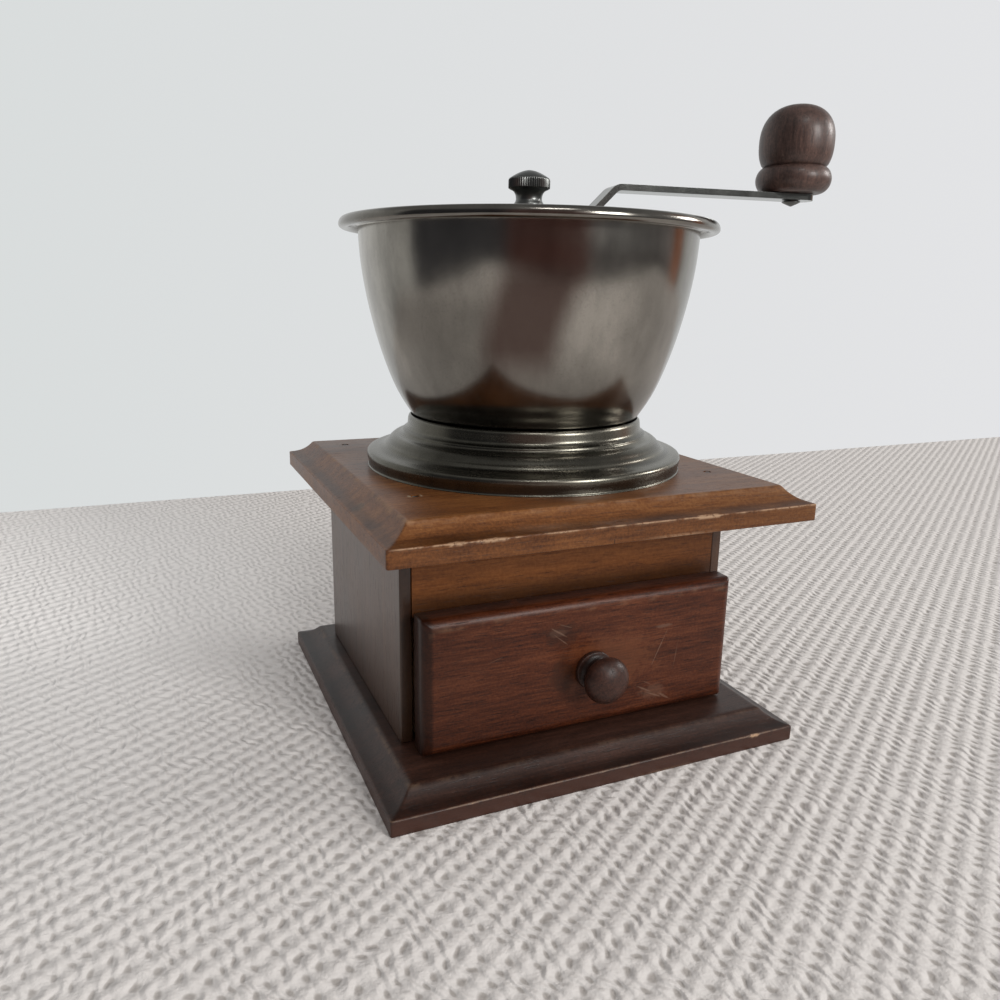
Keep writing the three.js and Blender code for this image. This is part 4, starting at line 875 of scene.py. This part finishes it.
def nut_outline(foot, top):
    """(radius, height, share of the grooves' depth) up the foot, the waisted neck, the band and the dome."""
    waist = foot + NUT_WAIST
    band_foot = foot + NUT_BAND_FOOT
    band_top = band_foot + NUT_BAND_HEIGHT
    lower_neck = arc((NUT_NECK + 2.6 * MM, waist), 2.6 * MM, 2.3 * MM, 2.35 * QUARTER, 2 * QUARTER, 5)
    upper_neck = arc((NUT_NECK + 2.3 * MM, waist), 2.3 * MM, 3.1 * MM, 2 * QUARTER, 1.1 * QUARTER, 9)[1:]
    rows = [(4.9 * MM, foot, 0), (5.45 * MM, foot + 0.15 * MM, 0), (5.5 * MM, foot + 0.7 * MM, 0)]
    rows += [(radius, height, 0) for radius, height in lower_neck + upper_neck]
    rows += [(NUT_RADIUS - 0.35 * MM, band_foot, 0), (NUT_RADIUS - 0.05 * MM, band_foot + 0.2 * MM, 0.8)]
    rows += [(NUT_RADIUS, band_foot + share * (band_top - band_foot), 1) for share in (0.12, 0.5, 0.88)]
    rows += [(NUT_RADIUS - 0.1 * MM, band_top, 0.7), (NUT_RADIUS - 0.4 * MM, band_top + 0.3 * MM, 0.1)]
    dome_radius = NUT_RADIUS - 0.5 * MM
    dome_foot = band_top + 0.4 * MM
    for step in range(1, DOME_STEPS + 1):
        share = 1 - 0.97 * step / DOME_STEPS
        rows.append((dome_radius * share, dome_foot + (top - dome_foot) * (1 - share ** DOME_POWER), 0))
    return rows


def make_cap_nut():
    low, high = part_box("cap_nut")
    rows = nut_outline(low.z, high.z)
    rings = [knurled_ring(radius, KNURL_DEPTH * share, height) for radius, height, share in rows]
    dress(new_piece(*skin(rings), sharp_degrees=50), "cap_nut", "nut")


def at_crank_end(piece):
    piece.data.transform(Matrix.Rotation(CRANK_ANGLE, 4, "Z") @ Matrix.Translation((CRANK_LENGTH, 0, 0)))
    return piece


KNOB_RING_PLACE = (9.5 * MM, 4.9 * MM)  # radius and height of the middle of the ring at its foot
KNOB_RING_WIDTH, KNOB_RING_HEIGHT = 4.37 * MM, 5.0 * MM  # half of each
KNOB_CREASE = 9.5 * MM
KNOB_MIDDLE = 17.8 * MM
KNOB_RADIUS = 13.65 * MM
KNOB_POWER = 2.4  # 2 makes the body an ellipse, and more makes it squarer
KNOB_STEPS = 34


def make_crank_knob():
    low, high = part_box("crank_knob")
    foot = low.z
    crease = foot + KNOB_CREASE
    middle = foot + KNOB_MIDDLE
    reach = high.z - middle
    ring_centre = (KNOB_RING_PLACE[0], foot + KNOB_RING_PLACE[1])
    ring_end = math.asin((crease - ring_centre[1]) / (1.02 * KNOB_RING_HEIGHT))
    ring = arc(ring_centre, KNOB_RING_WIDTH, KNOB_RING_HEIGHT, -QUARTER, ring_end, 22)
    start = math.asin((crease - middle) / reach)
    body = []
    for step in range(1, KNOB_STEPS + 1):
        rise = math.sin(start + (QUARTER - start) * step / KNOB_STEPS)
        radius = KNOB_RADIUS * max(1 - abs(rise) ** KNOB_POWER, 0) ** (1 / KNOB_POWER)
        body.append((radius if step < KNOB_STEPS else 0.0, middle + rise * reach))
    outline = [(0, foot), (4 * MM, foot), *[(radius, max(height, foot)) for radius, height in ring], *body]
    # Painted shade in the crease between the ring and the body
    grime = [0.35 * smooth_step(0.8 * MM, 0, abs(height - crease)) for radius, height in outline]
    dress(at_crank_end(turned(outline, 128, {"grime": grime}, 60)), "crank_knob", "crank_knob")


RIVET_RADIUS, RIVET_HEIGHT = 3.4 * MM, 1.8 * MM
SPINDLE_RADIUS = 2.55 * MM


def make_spindle():
    low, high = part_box("knob_spindle")
    arm_foot = low.z + RIVET_HEIGHT
    outline = [(0, low.z), (0.4 * MM, low.z + 0.08 * MM), (3.0 * MM, low.z + 1.22 * MM),
               (RIVET_RADIUS, low.z + 1.5 * MM), (RIVET_RADIUS, arm_foot), (SPINDLE_RADIUS, arm_foot),
               (SPINDLE_RADIUS, high.z), (0, high.z)]
    dress(at_crank_end(turned(outline, 48)), "knob_spindle", "dark")


SPRING_TURNS = 5
SPRING_RADIUS, SPRING_WIRE_RADIUS = 6 * MM, 0.75 * MM
STEPS_PER_TURN = 32
WIRE_SIDES = 12


def make_spring():
    """One wire that lies level for the first and the last quarter turn."""
    low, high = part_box("burr_spring")
    wire = SPRING_WIRE_RADIUS
    climb_height = high.z - low.z - 2 * wire
    rest = 1 / (4 * SPRING_TURNS)
    steps = SPRING_TURNS * STEPS_PER_TURN
    upward = Vector((0, 0, 1))
    rings = []
    for step in range(steps + 1):
        share = step / steps
        angle = share * SPRING_TURNS * TURN + CRANK_ANGLE
        climb = min(max((share - rest) / (1 - 2 * rest), 0), 1)
        outward = Vector((math.cos(angle), math.sin(angle), 0))
        centre = outward * SPRING_RADIUS + upward * (low.z + wire + climb * climb_height)
        around = (-TURN * side / WIRE_SIDES for side in range(WIRE_SIDES))
        rings.append([centre + wire * (math.cos(a) * outward + math.sin(a) * upward) for a in around])
    dress(new_piece(*skin(rings), sharp_degrees=60), "burr_spring", "spring")


# Drawer

BORDER_INSET, BORDER_DEPTH = 3.6 * MM, 3.0 * MM  # of the face's rounded border
BORDER_STEPS = 12
DRAWER_CORNER = 0.8 * MM
DRAWER_SIDE_STEPS = 90
DRAWER_ARRIS = 0.25 * MM


def drawer_outline(depth):
    """(inset, how far out, how worn) from the back of the drawer's front over its border to its face."""
    rows = [(DRAWER_ARRIS, 0, 0), (0, DRAWER_ARRIS, 0.4), (0, depth - BORDER_DEPTH, 0.2)]
    for step in range(1, BORDER_STEPS + 1):
        angle = QUARTER * step / BORDER_STEPS
        worn = 0.5 * smooth_step(0.75, 0.95, math.sin(angle))
        rows.append((BORDER_INSET * (1 - math.cos(angle)), depth - BORDER_DEPTH * (1 - math.sin(angle)), worn))
    return rows + [(BORDER_INSET + 0.8 * MM, depth, 0.25), (BORDER_INSET + 2.5 * MM, depth, 0)]


def make_drawer_front():
    low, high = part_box("drawer_front")
    half = (high - low) / 2
    middle = middle_of("drawer_front") + Vector((0, half.y, 0))
    rings, wear, grime = [], [], []
    for edge, out, worn in drawer_outline(high.y - low.y):
        ring = []
        for x, z in rounded_rectangle(half.x - edge, half.z - edge, DRAWER_CORNER, DRAWER_SIDE_STEPS):
            point = middle + Vector((x, -out, z))
            dent = max(roughly(point, 6 * MM, 5) - 0.1, 0) * worn
            point.y += 0.25 * MM * dent
            ring.append(point)
            on_top = smooth_step(7 * MM, 4.5 * MM, half.z - z)
            wear.append(0.15 * on_top * smooth_step(0.3, 0.6, worn * (0.7 + roughly(point, 4 * MM, 6))))
            # Painted shade on the left border
            grime.append(0.75 * smooth_step(4.5 * MM, 2.5 * MM, half.x + x))
        rings.append(ring)
    dress(new_piece(*skin(rings), {"wear": wear, "grime": grime}, 50), "drawer_front", "drawer")


PULL_FOOT, PULL_NECK, PULL_HEAD = 6.8 * MM, 4.4 * MM, 8.0 * MM  # radii of the drawer's knob
PULL_FOOT_HEIGHT = 1.1 * MM
PULL_ROUND = 0.5 * MM
PULL_NOSE = 5.2 * MM  # from its widest place to its end


def make_drawer_knob():
    low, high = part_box("drawer_knob")
    place = middle_of("drawer_knob")
    place.y = high.y
    length = high.y - low.y
    widest = length - PULL_NOSE
    outline = [(0, 0), (PULL_FOOT - 0.3 * MM, 0), (PULL_FOOT, 0.3 * MM), (PULL_FOOT, PULL_FOOT_HEIGHT)]
    outline += arc((PULL_FOOT - PULL_ROUND, PULL_FOOT_HEIGHT), PULL_ROUND, PULL_ROUND, 0, QUARTER, 4)[1:]
    outline += arc((PULL_NECK + 1.9 * MM, 3.4 * MM), 1.9 * MM, 1.8 * MM, 3 * QUARTER, 2 * QUARTER, 6)[1:]
    outline += [(PULL_NECK, 5.4 * MM)]
    outline += arc((PULL_NECK, widest), PULL_HEAD - PULL_NECK, widest - 5.9 * MM, -QUARTER, 0, 10)
    outline += arc((0, widest), PULL_HEAD, length - widest, 0, QUARTER, 20)[1:-1]
    outline.append((0, length))
    # Painted shade on the neck and under the head
    grime = [0.7 * smooth_step(6.2 * MM, 5.4 * MM, radius) * (height < widest) for radius, height in outline]
    piece = turned(outline, 96, {"grime": grime}, 60)
    piece.data.transform(Matrix.Translation(place) @ Matrix.Rotation(QUARTER, 4, "X"))
    dress(piece, "drawer_knob", "drawer_knob")


# Pieces that are only eased

SCREW_EASING = 0.12
SCREWS = ("hopper_screw_%d", (1, 2, 3)), ("housing_screw_%d", (1, 2, 3)), ("bearing_bar_screw_%d", (1, 2))
EASED = {
    "case": (
        ("left_side_panel", "left", 0.6, 3), ("right_side_panel", "right", 0.6, 3), ("back_panel", "back", 0.4),
        ("front_rail", "rail"),
    ),
    "hopper": (
        ("hopper_cross_bar", "dark"), ("cross_bar_bush", "brass", 0.15), ("burr_housing", "iron"),
        ("ring_burr", "iron", 0), ("lower_bearing_bar", "dark"),
        *((kind % number, "dark", SCREW_EASING) for kind, numbers in SCREWS for number in numbers),
    ),
    "crank": (
        ("crank_arm", "crank", 0.14, 2, 40), ("drive_shaft", "dark", 0.2), ("cone_burr", "iron", 0),
        ("burr_pin", "dark", 0.1), ("spring_washer", "dark", 0.15), ("adjusting_nut", "dark", 0.1, 1, 50),
        ("stop_plate", "crank", 0.15),
    ),
    "drawer": (
        ("drawer_left_side", "drawer_sides"), ("drawer_right_side", "drawer_sides"),
        ("drawer_back", "drawer_back"), ("drawer_bottom", "drawer_bottom", 0.2),
        ("drawer_knob_screw", "dark", SCREW_EASING),
    ),
}


def ease_pieces(group):
    for row in EASED[group]:
        ease(*row)


# Stage, light and camera

TABLE_LEFT, TABLE_RIGHT = -610 * MM, 1200 * MM
TABLE_FRONT, TABLE_BACK = -570 * MM, 372 * MM
KNOT_PERIODS = (5.6 * MM, 9.6 * MM)
KNOT_BENDS = (9.0, 7.0)
KNOT_TURN = math.radians(24)
GAP_COLOUR, KNOT_COLOUR, LIT_COLOUR = (0.42, 0.385, 0.36), (0.73, 0.69, 0.665), (0.92, 0.89, 0.87)
# Where light is painted onto the cloth, and how far it reaches
LIT_PLACE = (-180 * MM, 200 * MM, 0)
LIT_REACH = (160 * MM, 300 * MM, 1)


def make_floor():
    """A pale table top covered with a cloth of small knots, with a patch of painted light behind the object to
    its left.
    """
    corners = [(TABLE_LEFT, TABLE_FRONT, 0), (TABLE_RIGHT, TABLE_FRONT, 0),
               (TABLE_RIGHT, TABLE_BACK, 0), (TABLE_LEFT, TABLE_BACK, 0)]
    floor = new_piece(corners, [(0, 1, 2, 3)])
    floor.name = "floor"
    material, tree, shader = new_material("floor_cloth", {"Roughness": 0.85})
    across, along = (TURN / period for period in KNOT_PERIODS)
    turned_place = mapped(tree, (0, 0, 0), (0, 0, KNOT_TURN), (across, along, 1))
    rows = add(tree, "SeparateXYZ", {0: turned_place}).outputs
    bend = noise_at(tree, 90, detail=2)
    first, second = (maths("SINE", plus(row, times(bend, by))) for row, by in zip(rows, KNOT_BENDS))
    knots = times(first, second)
    relief = plus(knots, times(noise_at(tree, 900, detail=2), 0.6))
    colour = blend_colour(spread(knots, -0.95, -0.35), GAP_COLOUR, KNOT_COLOUR)
    from_lit = far_from(tree, LIT_PLACE, (0, 0, 0), LIT_REACH)
    colour = blend_colour(spread(from_lit, 1.2, 0.3, 0.0, 0.9), colour, LIT_COLOUR)
    tree.links.new(colour, shader.inputs["Base Color"])
    set_bump(tree, shader, relief, 0.6 * MM, 0.8)
    floor.data.materials.append(material)


# What gloss shows round the object, by degrees from +X towards +Y, below and above eye level
PALE_WALL = (0.72, 0.73, 0.73)
SIDE_WALL = (0.42, 0.42, 0.41)
DARK_ROOM = (0.045, 0.045, 0.050)
RED_BROWN = (0.13, 0.055, 0.045)
COPPER = (0.42, 0.17, 0.09)
FAR_ROOM = (
    (-5, COPPER), (3, COPPER), (6, SIDE_WALL), (14, PALE_WALL), (120, PALE_WALL), (150, SIDE_WALL),
    (162, SIDE_WALL), (167, DARK_ROOM), (180, DARK_ROOM),
)
LOW_ROOM = (
    (-180, DARK_ROOM), (-131, DARK_ROOM), (-124, RED_BROWN), (-80, RED_BROWN), (-72, (0.08, 0.075, 0.075)),
    (-20, (0.07, 0.065, 0.065)), (-9, (0.20, 0.18, 0.18)), *FAR_ROOM,
)
HIGH_ROOM = (
    (-180, DARK_ROOM), (-131, DARK_ROOM), (-124, (0.12, 0.07, 0.065)), (-80, (0.13, 0.075, 0.065)),
    (-74, (0.16, 0.16, 0.16)), (-56, (0.16, 0.16, 0.16)), (-45, (0.14, 0.14, 0.14)), (-20, (0.22, 0.21, 0.21)),
    (-9, (0.30, 0.28, 0.28)), *FAR_ROOM,
)
CEILING = (0.22, 0.22, 0.22)
FILL = (0.5, 0.5, 0.5)
WALL_SEEN = (
    (-180, (0.70, 0.72, 0.72)), (35, (0.77, 0.775, 0.79)), (60, (0.74, 0.75, 0.76)), (97, (0.695, 0.72, 0.72)),
    (180, (0.70, 0.72, 0.72)),
)


def make_world():
    """A pale wall beyond the object, and a darker room behind the camera for gloss."""
    world = bpy.data.worlds.new("room")
    bpy.context.scene.world = world
    world.use_nodes = True
    tree = world.node_tree
    parts = add(tree, "SeparateXYZ", {0: add(tree, "TexCoord").outputs["Generated"]}).outputs
    share = plus(maths("DIVIDE", maths("ARCTAN2", parts["Y"], parts["X"]), TURN), 0.5)

    def around(stops):
        return ramp(share, [((degrees + 180) / 360, colour) for degrees, colour in stops])

    rise = parts["Z"]
    room = blend_colour(spread(rise, -0.09, -0.045), around(LOW_ROOM), around(HIGH_ROOM))
    room = blend_colour(spread(rise, 0.45, 0.75), room, CEILING)
    path = add(tree, "LightPath").outputs
    colour = blend_colour(path["Is Glossy Ray"], FILL, room)
    colour = blend_colour(path["Is Camera Ray"], colour, around(WALL_SEEN))
    tree.links.new(colour, tree.nodes["Background"].inputs["Color"])


# Soft lamps: azimuth and elevation in degrees, then distance, width and height in metres, and power in watts
WINDOWS = {
    "window_front": (-67, 21, 4.0, 1.12, 1.20, 76),
    "window_high": (-97, 50, 3.0, 0.80, 0.40, 9),
    "window_right": (-8, 20, 4.0, 0.90, 0.85, 46),
}
WINDOW_COLOUR = (1.0, 0.99, 0.97)
WINDOW_AIM = Vector((0, 0, 150 * MM))


def make_windows():
    for name, (azimuth, elevation, distance, width, height, power) in WINDOWS.items():
        lamp = bpy.data.lights.new(name, "AREA")
        lamp.shape = "RECTANGLE"
        lamp.size, lamp.size_y = width, height
        lamp.energy = power
        lamp.color = WINDOW_COLOUR
        holder = new_object(lamp)
        a, e = math.radians(azimuth), math.radians(elevation)
        away = Vector((math.cos(a) * math.cos(e), math.sin(a) * math.cos(e), math.sin(e)))
        holder.location = WINDOW_AIM + away * distance
        holder.rotation_euler = away.to_track_quat("Z", "Y").to_euler()


def make_camera():
    camera = bpy.data.cameras.new("camera")
    camera.sensor_fit = "HORIZONTAL"
    camera.lens = CAMERA_LENS
    camera.clip_start = 0.01
    holder = new_object(camera)
    holder.matrix_world = (
        Matrix.Translation(CAMERA_PLACE) @ Matrix.Rotation(CAMERA_AZIMUTH, 4, "Z")
        @ Matrix.Rotation(QUARTER - CAMERA_PITCH, 4, "X") @ Matrix.Rotation(CAMERA_ROLL, 4, "Z")
    )
    bpy.context.scene.camera = holder


make_boards()
ease_pieces("case")
make_bowl()
make_collar()
ease_pieces("hopper")
make_cap_nut()
make_crank_knob()
make_spindle()
make_spring()
ease_pieces("crank")
make_drawer_front()
make_drawer_knob()
ease_pieces("drawer")
make_floor()
make_world()
make_windows()
make_camera()

bpy.context.scene.view_settings.view_transform = "Standard"
